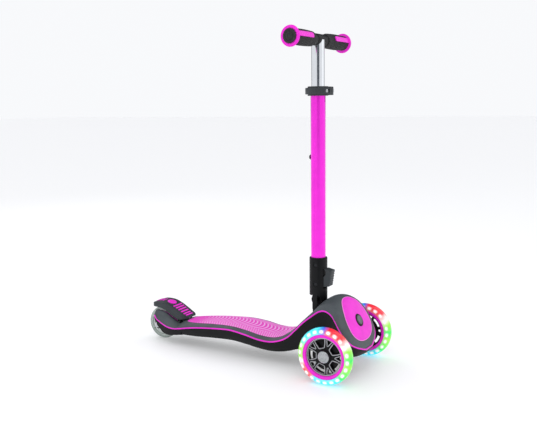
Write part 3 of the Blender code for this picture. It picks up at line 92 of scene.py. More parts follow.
# %% [markdown]
# A few helpers keep the later cells short. An operator works on whatever is selected,
# so each step starts by clearing the selection. A finished piece is given its finish,
# joined to the body it moves with, and the CAD nodes it stands for are hidden.

# %% Helpers for selecting and finishing a piece
def fresh_start():
    """Leave edit mode and clear the selection."""
    if bpy.context.object and bpy.context.object.mode != 'OBJECT':
        bpy.ops.object.mode_set(mode='OBJECT')
    bpy.ops.object.select_all(action='DESELECT')


def take(piece):
    """Select one piece and make it active."""
    fresh_start()
    piece.select_set(True)
    bpy.context.view_layer.objects.active = piece
    return piece


def settle(piece):
    """Put a piece's place, turn and size into its mesh."""
    take(piece)
    bpy.ops.object.transform_apply(location=True, rotation=True, scale=True)
    return piece


def apply_modifier(piece, kind, **settings):
    """Add one modifier with its settings and apply it."""
    take(piece)
    modifier = piece.modifiers.new(kind.lower(), kind)
    for key, value in settings.items():
        setattr(modifier, key, value)
    bpy.ops.object.modifier_apply(modifier=modifier.name)
    return piece


def tidy_faces(piece, merge=0.00001):
    """Merge doubles, close open ends and point every face outwards."""
    take(piece)
    bpy.ops.object.mode_set(mode='EDIT')
    bpy.ops.mesh.select_all(action='SELECT')
    bpy.ops.mesh.remove_doubles(threshold=merge)
    bpy.ops.mesh.fill_holes(sides=0)
    bpy.ops.mesh.select_all(action='SELECT')
    bpy.ops.mesh.normals_make_consistent(inside=False)
    bpy.ops.object.mode_set(mode='OBJECT')
    return piece


def done(piece, name, body, finish, slot, *nodes, angle=35):
    """Name, shade and finish a piece, and fix it to its body."""
    settle(piece)
    piece.name = name
    piece.data.name = name
    if finish is not None:
        piece.data.materials.clear()
        piece.data.materials.append(finish)
    bpy.ops.object.shade_smooth_by_angle(angle=radians(angle))
    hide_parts(*nodes)
    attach(piece, body)
    print(name, len(piece.data.polygons), "faces, rides on", body)
    return piece


def cut_with(piece, *tools):
    """Take cutters out of a piece, and throw the cutters away."""
    for tool in tools:
        apply_modifier(piece, 'BOOLEAN', operation='DIFFERENCE', solver='EXACT', object=tool)
        bpy.data.objects.remove(tool)
    return piece


def join_all(pieces):
    """Join several meshes into the first."""
    fresh_start()
    for piece in pieces:
        piece.select_set(True)
    bpy.context.view_layer.objects.active = pieces[0]
    bpy.ops.object.join()
    return pieces[0]


# %% [markdown]
# Three ways of shaping come back all the time. A round part is a ring of vertices that
# is extruded and scaled along a profile. A flat part is a circle whose vertices are
# moved to an outline, filled and extruded. A curved skin is a grid whose vertices are
# moved onto the surface.

# %% Helpers for round, flat and curved parts
def ring_path(profile, steps, closed=True):
    """Extrude and scale a ring along (radius, height) points about +Z at the origin."""
    fresh_start()
    radius, height = profile[0]
    bpy.ops.mesh.primitive_circle_add(vertices=steps, radius=radius, location=(0.0, 0.0, 0.0))
    piece = bpy.context.object
    bpy.ops.object.mode_set(mode='EDIT')
    bpy.ops.mesh.select_all(action='SELECT')
    bpy.ops.transform.translate(value=(0.0, 0.0, height))
    path = profile[1:] + (profile[:1] if closed else [])
    for next_radius, next_height in path:
        bpy.ops.mesh.extrude_edges_move(
            TRANSFORM_OT_translate={"value": (0.0, 0.0, next_height - height)})
        growth = next_radius / radius
        bpy.ops.transform.resize(value=(growth, growth, 1.0),
                                 center_override=(0.0, 0.0, next_height))
        radius, height = next_radius, next_height
    bpy.ops.object.mode_set(mode='OBJECT')
    return tidy_faces(piece)


def mirrored(half_section):
    """A whole section from its upper half."""
    return half_section + [(radius, -height) for radius, height in reversed(half_section)]


def stand_on(piece, turn, centre):
    """Turn a part made about +Z and move it into place."""
    take(piece)
    piece.matrix_world = Matrix.Translation(centre) @ turn
    return settle(piece)


def flat_part(outline, low, high, turn, centre):
    """Fill an outline of (x, y) points and extrude it from one height to another."""
    fresh_start()
    bpy.ops.mesh.primitive_circle_add(vertices=len(outline), radius=0.01, fill_type='NGON',
                                      location=(0.0, 0.0, 0.0))
    piece = bpy.context.object
    for vert, (x, y) in zip(piece.data.vertices, outline):
        vert.co = (x, y, low)
    bpy.ops.object.mode_set(mode='EDIT')
    bpy.ops.mesh.select_all(action='SELECT')
    bpy.ops.mesh.extrude_region_move(
        TRANSFORM_OT_translate={"value": (0.0, 0.0, high - low)})
    bpy.ops.object.mode_set(mode='OBJECT')
    tidy_faces(piece)
    return stand_on(piece, turn, centre)


def skin(across, along, place, wrap=False):
    """Add a grid and move its vertices to place(share across, share along)."""
    fresh_start()
    bpy.ops.mesh.primitive_grid_add(x_subdivisions=across, y_subdivisions=along, size=1.0,
                                    location=(0.0, 0.0, 0.0))
    piece = bpy.context.object
    for vert in piece.data.vertices:
        vert.co = place(vert.co.x + 0.5, vert.co.y + 0.5)
    if wrap:
        tidy_faces(piece)
    return piece


def round_edges(piece, width, segments=3, angle=30):
    """Bevel the sharp edges of a piece."""
    return apply_modifier(piece, 'BEVEL', width=width, segments=segments,
                          limit_method='ANGLE', angle_limit=radians(angle),
                          harden_normals=False)


ALONG_X = facing_out(1)
ALONG_Y = Matrix.Rotation(-pi / 2, 4, 'X')
SIDE_ON = Euler((pi / 2, 0.0, pi / 2)).to_matrix().to_4x4()
GAP = 0.0003
print("helpers ready")

# %% [markdown]
# Moulded plastic is never one flat colour. Its tint drifts a little, its sheen changes
# where the mould was polished or touched, and its skin has a fine spark-eroded grain.
# One recipe gives all three from noise on object coordinates, and each finish then
# sets its own colours, sheen and grain size. The base shine is kept low on the black
# plastic, so it stays black in the pale room.

# %% Recipe for moulded and metal finishes
def link(tree, source, target):
    """Join two sockets."""
    tree.links.new(source, target)


def new_finish(name, roughness, metallic=0.0):
    """A material with an empty recipe: its tree, shader and object coordinates."""
    material = bpy.data.materials.new(name)
    material.use_nodes = True
    tree = material.node_tree
    shader = tree.nodes["Principled BSDF"]
    shader.inputs["Roughness"].default_value = roughness
    shader.inputs["Metallic"].default_value = metallic
    coords = tree.nodes.new('ShaderNodeTexCoord')
    return material, tree, shader, coords.outputs["Object"]


def noise(tree, where, scale, detail=3.0, stretch=(1.0, 1.0, 1.0), rough=0.55):
    """Noise on a position, stretched along an axis if wanted."""
    mapping = tree.nodes.new('ShaderNodeMapping')
    mapping.inputs["Scale"].default_value = stretch
    texture = tree.nodes.new('ShaderNodeTexNoise')
    texture.inputs["Scale"].default_value = scale
    texture.inputs["Detail"].default_value = detail
    texture.inputs["Roughness"].default_value = rough
    link(tree, where, mapping.inputs["Vector"])
    link(tree, mapping.outputs["Vector"], texture.inputs["Vector"])
    return texture.outputs["Fac"]


def ramp(tree, value, stops, smooth='LINEAR'):
    """A colour ramp over (place, colour) stops."""
    made = tree.nodes.new('ShaderNodeValToRGB')
    made.color_ramp.interpolation = smooth
    elements = made.color_ramp.elements
    while len(elements) < len(stops):
        elements.new(0.5)
    for element, (place, colour) in zip(elements, stops):
        element.position = place
        element.color = (*colour, 1.0)
    link(tree, value, made.inputs["Fac"])
    return made.outputs["Color"]


def spread(tree, value, low, high):
    """Map noise onto a range of numbers."""
    made = tree.nodes.new('ShaderNodeMapRange')
    made.inputs["From Min"].default_value = 0.3
    made.inputs["From Max"].default_value = 0.7
    made.inputs["To Min"].default_value = low
    made.inputs["To Max"].default_value = high
    link(tree, value, made.inputs["Value"])
    return made.outputs["Result"]


def relief(tree, height, shader, strength, distance, under=None):
    """Bump from a height, on top of another bump if given."""
    bump = tree.nodes.new('ShaderNodeBump')
    bump.inputs["Strength"].default_value = strength
    bump.inputs["Distance"].default_value = distance
    link(tree, height, bump.inputs["Height"])
    if under is not None:
        link(tree, under, bump.inputs["Normal"])
    link(tree, bump.outputs["Normal"], shader.inputs["Normal"])
    return bump.outputs["Normal"]


def shade(colour, factor):
    """A colour made lighter or darker."""
    return tuple(min(channel * factor, 1.0) for channel in colour)


def moulded(name, colour, roughness, metallic=0.0, grain=1400.0, depth=0.00006,
            drift=0.12, sheen_drift=0.07, stretch=(1.0, 1.0, 1.0), coat=0.0, gloss=0.3):
    """A finish with drifting tint, uneven sheen and a fine grain."""
    material, tree, shader, where = new_finish(name, roughness, metallic)
    tint = noise(tree, where, 38.0, 4.0)
    stops = [(0.35, shade(colour, 1.0 - drift)), (0.65, shade(colour, 1.0 + drift))]
    link(tree, ramp(tree, tint, stops), shader.inputs["Base Color"])
    touch = noise(tree, where, 90.0, 5.0, stretch)
    sheen = spread(tree, touch, roughness - sheen_drift, roughness + sheen_drift)
    link(tree, sheen, shader.inputs["Roughness"])
    relief(tree, noise(tree, where, grain, 2.0, stretch), shader, 0.35, depth)
    shader.inputs["Specular IOR Level"].default_value = gloss
    shader.inputs["Coat Weight"].default_value = coat
    shader.inputs["Coat Roughness"].default_value = 0.15
    return material


BLACK_PLASTIC = moulded("black_plastic", (0.0045, 0.0048, 0.0055), 0.40, depth=0.00008,
                         gloss=0.16)
SLATE_PLASTIC = moulded("slate_grey_plastic", (0.070, 0.082, 0.090), 0.46, depth=0.00007)
DARK_SLATE = moulded("dark_slate_plastic", (0.034, 0.040, 0.045), 0.45)
PINK_PLASTIC = moulded("pink_plastic", (0.88, 0.018, 0.66), 0.36, drift=0.05, coat=0.05)
PALE_PINK = moulded("pale_pink_line", (0.90, 0.30, 0.72), 0.40, drift=0.04)
SILVER_PLASTIC = moulded("silver_plastic", (0.42, 0.44, 0.45), 0.30, metallic=0.55)
WHITE_CORE = moulded("white_core", (0.66, 0.70, 0.68), 0.40, drift=0.06)
STEEL = moulded("zinc_steel", (0.50, 0.51, 0.53), 0.30, metallic=1.0, depth=0.00003)
MAGENTA_TUBE = moulded("magenta_anodised", (0.90, 0.020, 0.70), 0.25, metallic=0.55,
                       drift=0.05, grain=900.0, depth=0.00003, stretch=(1.0, 1.0, 0.02),
                       coat=0.25)
CHROME = moulded("chrome", (0.74, 0.76, 0.79), 0.10, metallic=1.0, drift=0.03,
                 sheen_drift=0.04, depth=0.00001)
print("finishes:", len(bpy.data.materials))

# %% [markdown]
# Rubber is duller than moulded plastic, with a coarser skin that catches dust in its
# low spots. The same noise makes the colour and the bump, so dust and dips agree.

# %% Rubber finish
def rubber(name, colour, scale):
    """A dull, pebbled rubber."""
    material, tree, shader, where = new_finish(name, 0.72)
    pebble = tree.nodes.new('ShaderNodeTexVoronoi')
    pebble.inputs["Scale"].default_value = scale
    link(tree, where, pebble.inputs["Vector"])
    stops = [(0.0, shade(colour, 1.6)), (0.6, colour)]
    link(tree, ramp(tree, pebble.outputs["Distance"], stops), shader.inputs["Base Color"])
    link(tree, spread(tree, noise(tree, where, 120.0), 0.62, 0.80), shader.inputs["Roughness"])
    relief(tree, pebble.outputs["Distance"], shader, 0.5, 0.00035)
    return material


BLACK_RUBBER = rubber("black_rubber", (0.016, 0.016, 0.017), 520.0)
print("rubber ready")

# %% [markdown]
# The body of the scooter is one long curved surface: it rises over the front wheels as
# a nose, drops to a narrow deck and ends at the rear wheel. The designer's way to hold
# such a shape is a row of cross-sections. Each row gives the centre line, the trim line
# where the pink edge runs, and the lower edge. A smooth curve goes through the rows, and
# every skin of the body is then a grid laid on that one surface, so the grey cover, the
# black shell, the tread and the badge all fit each other.

# %% The body's cross-sections
# Behind the front axle: centre (y, z), trim line (x, y, z), lower edge (x, y, z).
NOSE_ROWS = [
    ((-0.0515, 0.0592), (0.0150, -0.0510, 0.0572), (0.0140, -0.0480, 0.0462)),
    ((-0.0492, 0.0650), (0.0330, -0.0482, 0.0630), (0.0300, -0.0445, 0.0458)),
    ((-0.0450, 0.0740), (0.0490, -0.0440, 0.0695), (0.0440, -0.0395, 0.0456)),
    ((-0.0380, 0.0910), (0.0620, -0.0385, 0.0775), (0.0530, -0.0320, 0.0455)),
    ((-0.0300, 0.1090), (0.0700, -0.0310, 0.0880), (0.0580, -0.0240, 0.0455)),
    ((-0.0190, 0.1290), (0.0728, -0.0215, 0.1000), (0.0600, -0.0150, 0.0455)),
    ((-0.0070, 0.1470), (0.0710, -0.0120, 0.1120), (0.0600, -0.0060, 0.0455)),
    ((0.0070, 0.1575), (0.0650, -0.0015, 0.1230), (0.0580, 0.0040, 0.0455)),
    ((0.0220, 0.1605), (0.0585, 0.0100, 0.1330), (0.0550, 0.0150, 0.0455)),
    ((0.0370, 0.1565), (0.0552, 0.0250, 0.1395), (0.0530, 0.0280, 0.0455)),
    ((0.0500, 0.1460), (0.0552, 0.0410, 0.1370), (0.0520, 0.0430, 0.0455)),
    ((0.0640, 0.1300), (0.0568, 0.0600, 0.1235), (0.0520, 0.0610, 0.0455)),
    ((0.0820, 0.1120), (0.0580, 0.0800, 0.1065), (0.0520, 0.0790, 0.0450)),
    ((0.0980, 0.0960), (0.0580, 0.0970, 0.0890), (0.0520, 0.0950, 0.0435)),
    ((0.1150, 0.0810), (0.0580, 0.1150, 0.0720), (0.0520, 0.1140, 0.0370)),
    ((0.1350, 0.0690), (0.0580, 0.1350, 0.0610), (0.0520, 0.1350, 0.0320)),
]
# Share of the way from the nose's foot to the tail: centre z, trim x, z, lower x, z.
DECK_ROWS = [
    (0.09, 0.0632, 0.0580, 0.0550, 0.0510, 0.0290),
    (0.20, 0.0636, 0.0570, 0.0556, 0.0500, 0.0300),
    (0.33, 0.0690, 0.0560, 0.0618, 0.0490, 0.0345),
    (0.48, 0.0715, 0.0530, 0.0655, 0.0460, 0.0370),
    (0.67, 0.0695, 0.0500, 0.0610, 0.0440, 0.0340),
    (0.84, 0.0645, 0.0480, 0.0550, 0.0420, 0.0300),
    (1.00, 0.0590, 0.0452, 0.0462, 0.0400, 0.0280),
]
NOSE_FOOT = 0.1350
DECK_TAIL = REAR_AXLE.y - FRONT_AXLE.y - 0.0776
COVER_THICK = 0.003
BODY = []
for centre, trim, lower in NOSE_ROWS:
    BODY.append([*centre, *trim, *lower])
for share, centre_z, trim_x, trim_z, lower_x, lower_z in DECK_ROWS:
    y = NOSE_FOOT + share * (DECK_TAIL - NOSE_FOOT)
    BODY.append([y, centre_z, trim_x, y, trim_z, lower_x, y, lower_z])
for row in BODY:
    for place in (0, 3, 6):
        row[place] += FRONT_AXLE.y
LAST_ROW = len(BODY) - 1


def through(rows, s):
    """The row at s, counted in rows, on a smooth curve through all of them."""
    i = min(max(int(s), 0), len(rows) - 2)
    t = s - i
    before, start = rows[max(i - 1, 0)], rows[i]
    end, after = rows[i + 1], rows[min(i + 2, len(rows) - 1)]
    blended = []
    for a, b, c, d in zip(before, start, end, after):
        bend = 2 * b + (c - a) * t + (2 * a - 5 * b + 4 * c - d) * t * t
        blended.append((bend + (3 * b - a - 3 * c + d) * t * t * t) / 2)
    return blended


def body_point(s, u):
    """A point on the body's top: u is 0 on the centre line and 1 on the trim line."""
    centre_y, centre_z, trim_x, trim_y, trim_z = through(BODY, s)[:5]
    drop = (1 - cos(pi * u / 2)) ** 1.15
    return Vector((trim_x * sin(pi * u / 2), centre_y + (trim_y - centre_y) * drop,
                   centre_z + (trim_z - centre_z) * drop))


def body_normal(s, u):
    """The way out of the body's top, evened out across the sharp tip."""
    s = min(max(s, 0.02), LAST_ROW - 0.02)
    u = min(max(u, -0.97), 0.97) * min(s / 3, 1.0)
    along = body_point(s + 0.01, u) - body_point(s - 0.01, u)
    across = body_point(s, u + 0.01) - body_point(s, u - 0.01)
    return across.cross(along).normalized()


def lifted(s, u, lift):
    """A point above the body's top, or below it with a negative lift."""
    return body_point(s, u) + body_normal(s, u) * lift


def across_at(s, x):
    """The u of a distance x from the middle."""
    return asin(min(max(x / through(BODY, s)[2], -1.0), 1.0)) * 2 / pi


def row_at(y):
    """The s of a centre-line point behind the nose's crest."""
    low, high = 8.0, float(LAST_ROW)
    while high - low > 0.001:
        middle = (low + high) / 2
        if through(BODY, middle)[0] < y:
            low = middle
        else:
            high = middle
    return low


def edge_frame(s):
    """On the left trim line: the point, the way out, and the way down from it."""
    step = 0.02 if s < LAST_ROW - 0.02 else -0.02
    point = body_point(s, 1.0)
    path = (body_point(s + step, 1.0) - point) * (1 if step > 0 else -1)
    outward = body_normal(s, 1.0)
    return point, outward, path.cross(outward).normalized()


print("body rows:", len(BODY))

# %% [markdown]
# Two arms carry the rear wheel. They go on from the deck's sides, climb over the axle
# and end in round noses. They have rows of their own, with the same smooth curve.

# %% The rear arms' cross-sections
# Behind the rear axle: outer x, trim z, lower z, z of the wheel-side edge.
ARM_ROWS = [
    (-0.0836, 0.0456, 0.0477, 0.0283, 0.0530),
    (-0.0626, 0.0436, 0.0432, 0.0245, 0.0505),
    (-0.0406, 0.0400, 0.0430, 0.0205, 0.0600),
    (-0.0226, 0.0360, 0.0470, 0.0230, 0.0700),
    (-0.0086, 0.0330, 0.0520, 0.0320, 0.0738),
    (0.0014, 0.0310, 0.0570, 0.0400, 0.0750),
    (0.0074, 0.0300, 0.0650, 0.0520, 0.0745),
]
ARM_INNER_X = 0.0168
LAST_ARM_ROW = len(ARM_ROWS) - 1


def arm_top(side, s, share):
    """A point on an arm's top: share is 0 at the trim line and 1 at the wheel."""
    y, outer, trim, _, inner = through(ARM_ROWS, s)
    crown = 4 * share * (1 - share) * 0.0022
    x = outer + (ARM_INNER_X - outer) * share
    z = trim + (inner - trim) * sin(share * pi / 2) ** 1.2 + crown
    return Vector((side * x, REAR_AXLE.y + y, z))


print("arm rows:", len(ARM_ROWS))

# %% [markdown]
# The cutters for the body are modelled first, because both the cover and the shell
# are cut by them: a well for the brake's pivot, room under its foot plate, a scoop for
# the stem's round end, and a bore for the steering-lock button.

# %% Cutters for the openings in the body
PIVOT = Vector((0.0, centre_of("fold_pin").y, centre_of("fold_pin").z))
BRAKE_PIN = centre_of("brake_pin")
BUTTON_ROW = 4.2
BUTTON_AT = body_point(BUTTON_ROW, 0.0)
BUTTON_TURN = body_normal(BUTTON_ROW, 0.0).to_track_quat('Z', 'Y').to_matrix().to_4x4()
BEZEL_R = 0.0140


def block(low, high):
    """A plain box cutter between two corners."""
    fresh_start()
    bpy.ops.mesh.primitive_cube_add(size=1.0, location=(0.0, 0.0, 0.0))
    piece = bpy.context.object
    for vert in piece.data.vertices:
        vert.co = [low[i] + (vert.co[i] + 0.5) * (high[i] - low[i]) for i in range(3)]
    return piece


def bar_cutter(radius, low, high, turn, centre, steps=64):
    """A round cutter."""
    return stand_on(ring_path([(radius, low), (radius, high)], steps, closed=False), turn,
                    centre)


def body_cutters():
    """A fresh set of cutters for the brake, the stem and the button."""
    well = block((-ARM_INNER_X - 0.0002, BRAKE_PIN.y - 0.0085, BRAKE_PIN.z - 0.0085),
                 (ARM_INNER_X + 0.0002, BRAKE_PIN.y + 0.0300, 0.120))
    room = [(-0.0870, 0.0614), (-0.0600, 0.0560), (-0.0440, 0.0620), (-0.0320, 0.0700),
            (-0.0200, 0.0760), (0.0200, 0.0790), (0.0200, 0.1200), (-0.0870, 0.1200)]
    foot_room = flat_part(room, -0.0250, 0.0250, SIDE_ON, ON_AXLE)
    scoop = bar_cutter(0.0207, -0.0210, 0.0210, ALONG_X, PIVOT)
    button = bar_cutter(BEZEL_R, -0.0215, 0.0100, BUTTON_TURN, BUTTON_AT)
    return [well, foot_room, scoop, button]


print("button at", BUTTON_AT)

# %% [markdown]
# The grey cover is a satin moulding three millimetres thick. A fine grid is laid on the
# body's top, given its thickness by Solidify, and the openings are cut. The arms' grey
# tops are made the same way from the arm rows and joined on.

# %% Grey cover
cover = skin(60, 176, lambda a, b: body_point(b * LAST_ROW, -1 + 2 * a))
apply_modifier(cover, 'SOLIDIFY', thickness=COVER_THICK, offset=-1.0, use_even_offset=False)
arm_covers = []
for side, label in SIDES:
    def arm_skin(a, b, side=side):
        share = a if side < 0 else 1 - a
        return arm_top(side, b * LAST_ARM_ROW, share)
    top = skin(14, 60, arm_skin)
    apply_modifier(top, 'SOLIDIFY', thickness=COVER_THICK, offset=-1.0)
    arm_covers.append(top)
pieces = []
for piece in [cover] + arm_covers:
    cut_with(piece, *body_cutters())
    pieces.append(piece)
cover = join_all(pieces)
done(cover, "grey_cover", "deck", SLATE_PLASTIC, "slate_grey_plastic", "deck_frame")

# %% [markdown]
# Below the trim line the shell is black and a little narrower at its foot, so the
# scooter looks thin from the side. Its section is a closed ring: along the top under
# the cover, out to the trim, down the wall with a soft corner, and across the floor.

# %% Black shell
SEAT = COVER_THICK + 0.0003
TRIM_SLOT = 0.0032
FLOOR_STEPS = 6
CORNER = 0.0045


def shell_side(s):
    """The left wall of the shell at s, from the step behind the trim to the floor."""
    lower = Vector(through(BODY, s)[5:])
    point, outward, down = edge_frame(s)
    wall_top = point + down * TRIM_SLOT
    wall = [wall_top - outward * SEAT, wall_top]
    for k in range(1, 8):
        share = k / 8
        bulge = outward * sin(share * pi) * 0.0016
        wall.append(wall_top.lerp(lower, share) + bulge)
    for k in range(5):
        angle = k / 4 * pi / 2
        corner = lower + Vector((-CORNER, 0.0, CORNER))
        wall.append(corner + Vector((cos(angle), 0.0, -sin(angle))) * CORNER)
    return wall


def shell_ring(s):
    """The whole section of the shell at s."""
    top = [lifted(s, -1 + 2 * k / 30, -SEAT) for k in range(31)]
    wall = shell_side(s)
    floor_z = wall[-1].z
    half = wall[-1].x
    floor_run = [Vector((half * (1 - 2 * k / FLOOR_STEPS), wall[-1].y, floor_z))
                 for k in range(1, FLOOR_STEPS)]
    left_side = [Vector((-p.x, p.y, p.z)) for p in reversed(wall)]
    return top + wall + floor_run + left_side


RING_COUNT = len(shell_ring(1.0))
SHELL_ROWS = 132


def shell_place(a, b):
    """The grid's place on the shell; the last column meets the first."""
    return shell_rings[round(b * SHELL_ROWS)][round(a * RING_COUNT) % RING_COUNT]


shell_rings = [shell_ring(LAST_ROW * k / SHELL_ROWS) for k in range(SHELL_ROWS + 1)]
shell = skin(RING_COUNT, SHELL_ROWS, shell_place, wrap=True)
print("shell rings of", RING_COUNT, "points")

# %% [markdown]
# The arms' black parts hold the axle. Each is a wrapped grid on its own rows, with a
# round boss on the outside around the axle bolt.

# %% Black arms and axle bosses
def arm_ring(side, s):
    """An arm's black section: under the grey top, then down and round the foot."""
    y, outer, trim, lower, _ = through(ARM_ROWS, s)
    top = [arm_top(side, s, k / 10) + Vector((0.0, 0.0, -SEAT)) for k in range(1, 11)]
    low = min(lower, trim - 0.006)
    wall = []
    for k in range(13):
        angle = pi * k / 12
        across = (outer + ARM_INNER_X) / 2 - cos(angle) * (outer - ARM_INNER_X) / 2
        depth = sin(angle) ** 0.35 * 0.006
        wall.append(Vector((side * across, REAR_AXLE.y + y, low + 0.006 - depth)))
    shelf = Vector((side * outer, REAR_AXLE.y + y, trim - TRIM_SLOT))
    step = Vector((side * (outer - SEAT), REAR_AXLE.y + y, trim - TRIM_SLOT))
    return top + wall + [shelf, step]


black_parts = [shell]
ARM_STEPS = 60
for side, label in SIDES:
    rings = [arm_ring(side, LAST_ARM_ROW * k / ARM_STEPS) for k in range(ARM_STEPS + 1)]
    count = len(rings[0])

    def arm_place(a, b, rings=rings, count=count):
        return rings[round(b * ARM_STEPS)][round(a * count) % count]
    black_parts.append(skin(count, ARM_STEPS, arm_place, wrap=True))
    boss = ring_path([(0.0072, 0.0268), (0.0088, 0.0268), (0.0095, 0.0261), (0.0095, 0.0178),
                      (0.0072, 0.0178)], 48)
    black_parts.append(stand_on(boss, facing_out(side), REAR_AXLE))
for piece in black_parts[:2] + black_parts[3:4]:
    cut_with(piece, *body_cutters())
shell = join_all(black_parts)
done(shell, "black_shell", "deck", BLACK_PLASTIC, "black_plastic", "deck_chassis")

# %% [markdown]
# The pink line is a soft edge strip that runs all round the body, from one arm's tip
# over the nose to the other. A second strip lines the opening for the rear wheel. Both
# are round cords, made as curves through the trim line and then turned into meshes.

# %% Pink edge strips
def strip(points, radius):
    """A round cord through points, as a mesh."""
    curve = bpy.data.curves.new("strip", 'CURVE')
    curve.dimensions = '3D'
    curve.bevel_depth = radius
    curve.bevel_resolution = 3
    curve.use_fill_caps = True
    spline = curve.splines.new('POLY')
    spline.points.add(len(points) - 1)
    for spot, point in zip(spline.points, points):
        spot.co = (*point, 1.0)
    piece = bpy.data.objects.new("strip", curve)
    bpy.context.scene.collection.objects.link(piece)
    take(piece)
    bpy.ops.object.convert(target='MESH')
    return bpy.context.object


EDGE_R = 0.0019
edge_run = []
for k in range(201):
    point, outward, down = edge_frame(LAST_ROW * k / 200)
    edge_run.append(point + down * TRIM_SLOT / 2 - outward * 0.0010)
ARM_START = 0.55
for k in range(1, 61):
    s = ARM_START + (LAST_ARM_ROW - ARM_START) * k / 60
    y, outer, trim, _, _ = through(ARM_ROWS, s)
    edge_run.append(Vector((outer - 0.0010, REAR_AXLE.y + y, trim - TRIM_SLOT / 2)))
other_run = [Vector((-p.x, p.y, p.z)) for p in reversed(edge_run)]
inner_runs = []
for side, label in SIDES:
    inner_runs.append([arm_top(side, 1.3 + (LAST_ARM_ROW - 1.5) * k / 40, 1.0)
                       + Vector((side * 0.0004, 0.0, -0.0006)) for k in range(41)])
edges = [strip(other_run + edge_run, EDGE_R)] + [strip(run, 0.0011) for run in inner_runs]
done(join_all(edges), "pink_edge", "deck", PINK_PLASTIC, "pink_plastic", "deck_trim", angle=60)

# %% [markdown]
# The tread is a thin pink sheet let into the deck. Its pattern is a row of pale arcs
# down the middle and fine slanting lines at the sides, fading out before the brake.
# The arcs are a sine of y, with x squared added to bend them, and the side lines add
# the plain size of x. The same pattern lifts the surface a little, for grip.

# %% Tread finish
def arithmetic(tree, kind, first, second=None):
    """One sum on numbers or sockets."""
    node = tree.nodes.new('ShaderNodeMath')
    node.operation = kind
    for socket, value in zip(node.inputs, (first, second)):
        if value is None:
            continue
        if isinstance(value, (int, float)):
            socket.default_value = value
        else:
            link(tree, value, socket)
    return node.outputs[0]


def sums(tree):
    """A shorthand for sums on one tree: calc(kind, first, second)."""
    return lambda kind, first, second=None: arithmetic(tree, kind, first, second)


ARC_PITCH, ARC_BEND = 0.0095, 17.0
LINE_PITCH, LINE_SLANT = 0.0048, 0.8
ARC_HALF = 0.0235
FADE_START, FADE_END = 0.165, 0.105


def tread_finish():
    """Pink with pale arcs and slanting lines."""
    material, tree, shader, where = new_finish("pink_tread", 0.45)
    calc = sums(tree)
    parts = tree.nodes.new('ShaderNodeSeparateXYZ')
    link(tree, where, parts.inputs[0])
    x, y = parts.outputs["X"], parts.outputs["Y"]
    side = calc('ABSOLUTE', x)
    bent = calc('SUBTRACT', y, calc('MULTIPLY', calc('MULTIPLY', x, x), ARC_BEND))
    arcs = calc('SINE', calc('MULTIPLY', bent, 2 * pi / ARC_PITCH))
    slant = calc('ADD', y, calc('MULTIPLY', side, LINE_SLANT))
    lines = calc('SINE', calc('MULTIPLY', slant, 2 * pi / LINE_PITCH))
    outer = calc('GREATER_THAN', side, ARC_HALF)
    mixed = tree.nodes.new('ShaderNodeMix')
    link(tree, outer, mixed.inputs[0])
    link(tree, arcs, mixed.inputs[2])
    link(tree, lines, mixed.inputs[3])
    fade = tree.nodes.new('ShaderNodeMapRange')
    fade.inputs["From Min"].default_value = FADE_START
    fade.inputs["From Max"].default_value = FADE_END
    fade.inputs["To Min"].default_value = -1.3
    fade.inputs["To Max"].default_value = 0.0
    link(tree, y, fade.inputs["Value"])
    height = calc('ADD', mixed.outputs[0], fade.outputs["Result"])
    stops = [(0.10, (0.86, 0.030, 0.58)), (0.55, (0.95, 0.46, 0.84))]
    link(tree, ramp(tree, height, stops), shader.inputs["Base Color"])
    link(tree, spread(tree, noise(tree, where, 70.0), 0.38, 0.52), shader.inputs["Roughness"])
    grain = relief(tree, noise(tree, where, 900.0, 2.0), shader, 0.3, 0.00006)
    relief(tree, height, shader, 0.5, 0.0003, grain)
    return material


PINK_TREAD = tread_finish()
print("tread finish ready")

# %% [markdown]
# The sheet itself is a grid on the deck's surface, narrowed to a round at both ends. It
# is made thick by Solidify and its rim is softened.

# %% Tread sheet
TREAD_START = row_at(FRONT_AXLE.y + 0.119)
TREAD_END = row_at(FRONT_AXLE.y + DECK_TAIL - 0.0085)
TREAD_MARGIN = 0.012


def tread_place(a, b):
    """The grid's place on the tread, rounded at both ends."""
    s = TREAD_START + (TREAD_END - TREAD_START) * b
    ends = min(b, 1 - b) * 9 / 1.6
    rounding = 0.60 + 0.40 * sqrt(1 - (1 - min(ends, 1.0)) ** 2)
    half = (through(BODY, s)[2] - TREAD_MARGIN) * rounding
    return lifted(s, across_at(s, half * (-1 + 2 * a)), 0.0005)


tread = skin(32, 150, tread_place)
apply_modifier(tread, 'SOLIDIFY', thickness=0.0012, offset=-1.0)
round_edges(tread, 0.0003, 2, 50)
done(tread, "tread", "deck", PINK_TREAD, "pink_plastic", "tread_mat")

# %% [markdown]
# The badge is an egg-shaped pink panel on the nose, with a fine pale line round it and
# nothing printed on it. It is a grid squeezed to the egg's width at every height. The
# pale line is a cord along the same outline.

# %% Badge panel
BADGE_TOP, BADGE_FOOT = 7.0, 1.95
BADGE_HALF = 0.051


def badge_at(across, along, lift):
    """A point on the badge: across is -1 to 1, along is 0 at its top and 1 at its foot."""
    share = (1 - cos(pi * along)) / 2
    s = BADGE_TOP + (BADGE_FOOT - BADGE_TOP) * share
    egg = sqrt(max(1 - (2 * share - 1) ** 2, 0.0)) * (1 + 0.10 * (2 * share - 1))
    half = max(BADGE_HALF * egg, 0.0006)
    return lifted(s, across_at(s, half * across), lift)


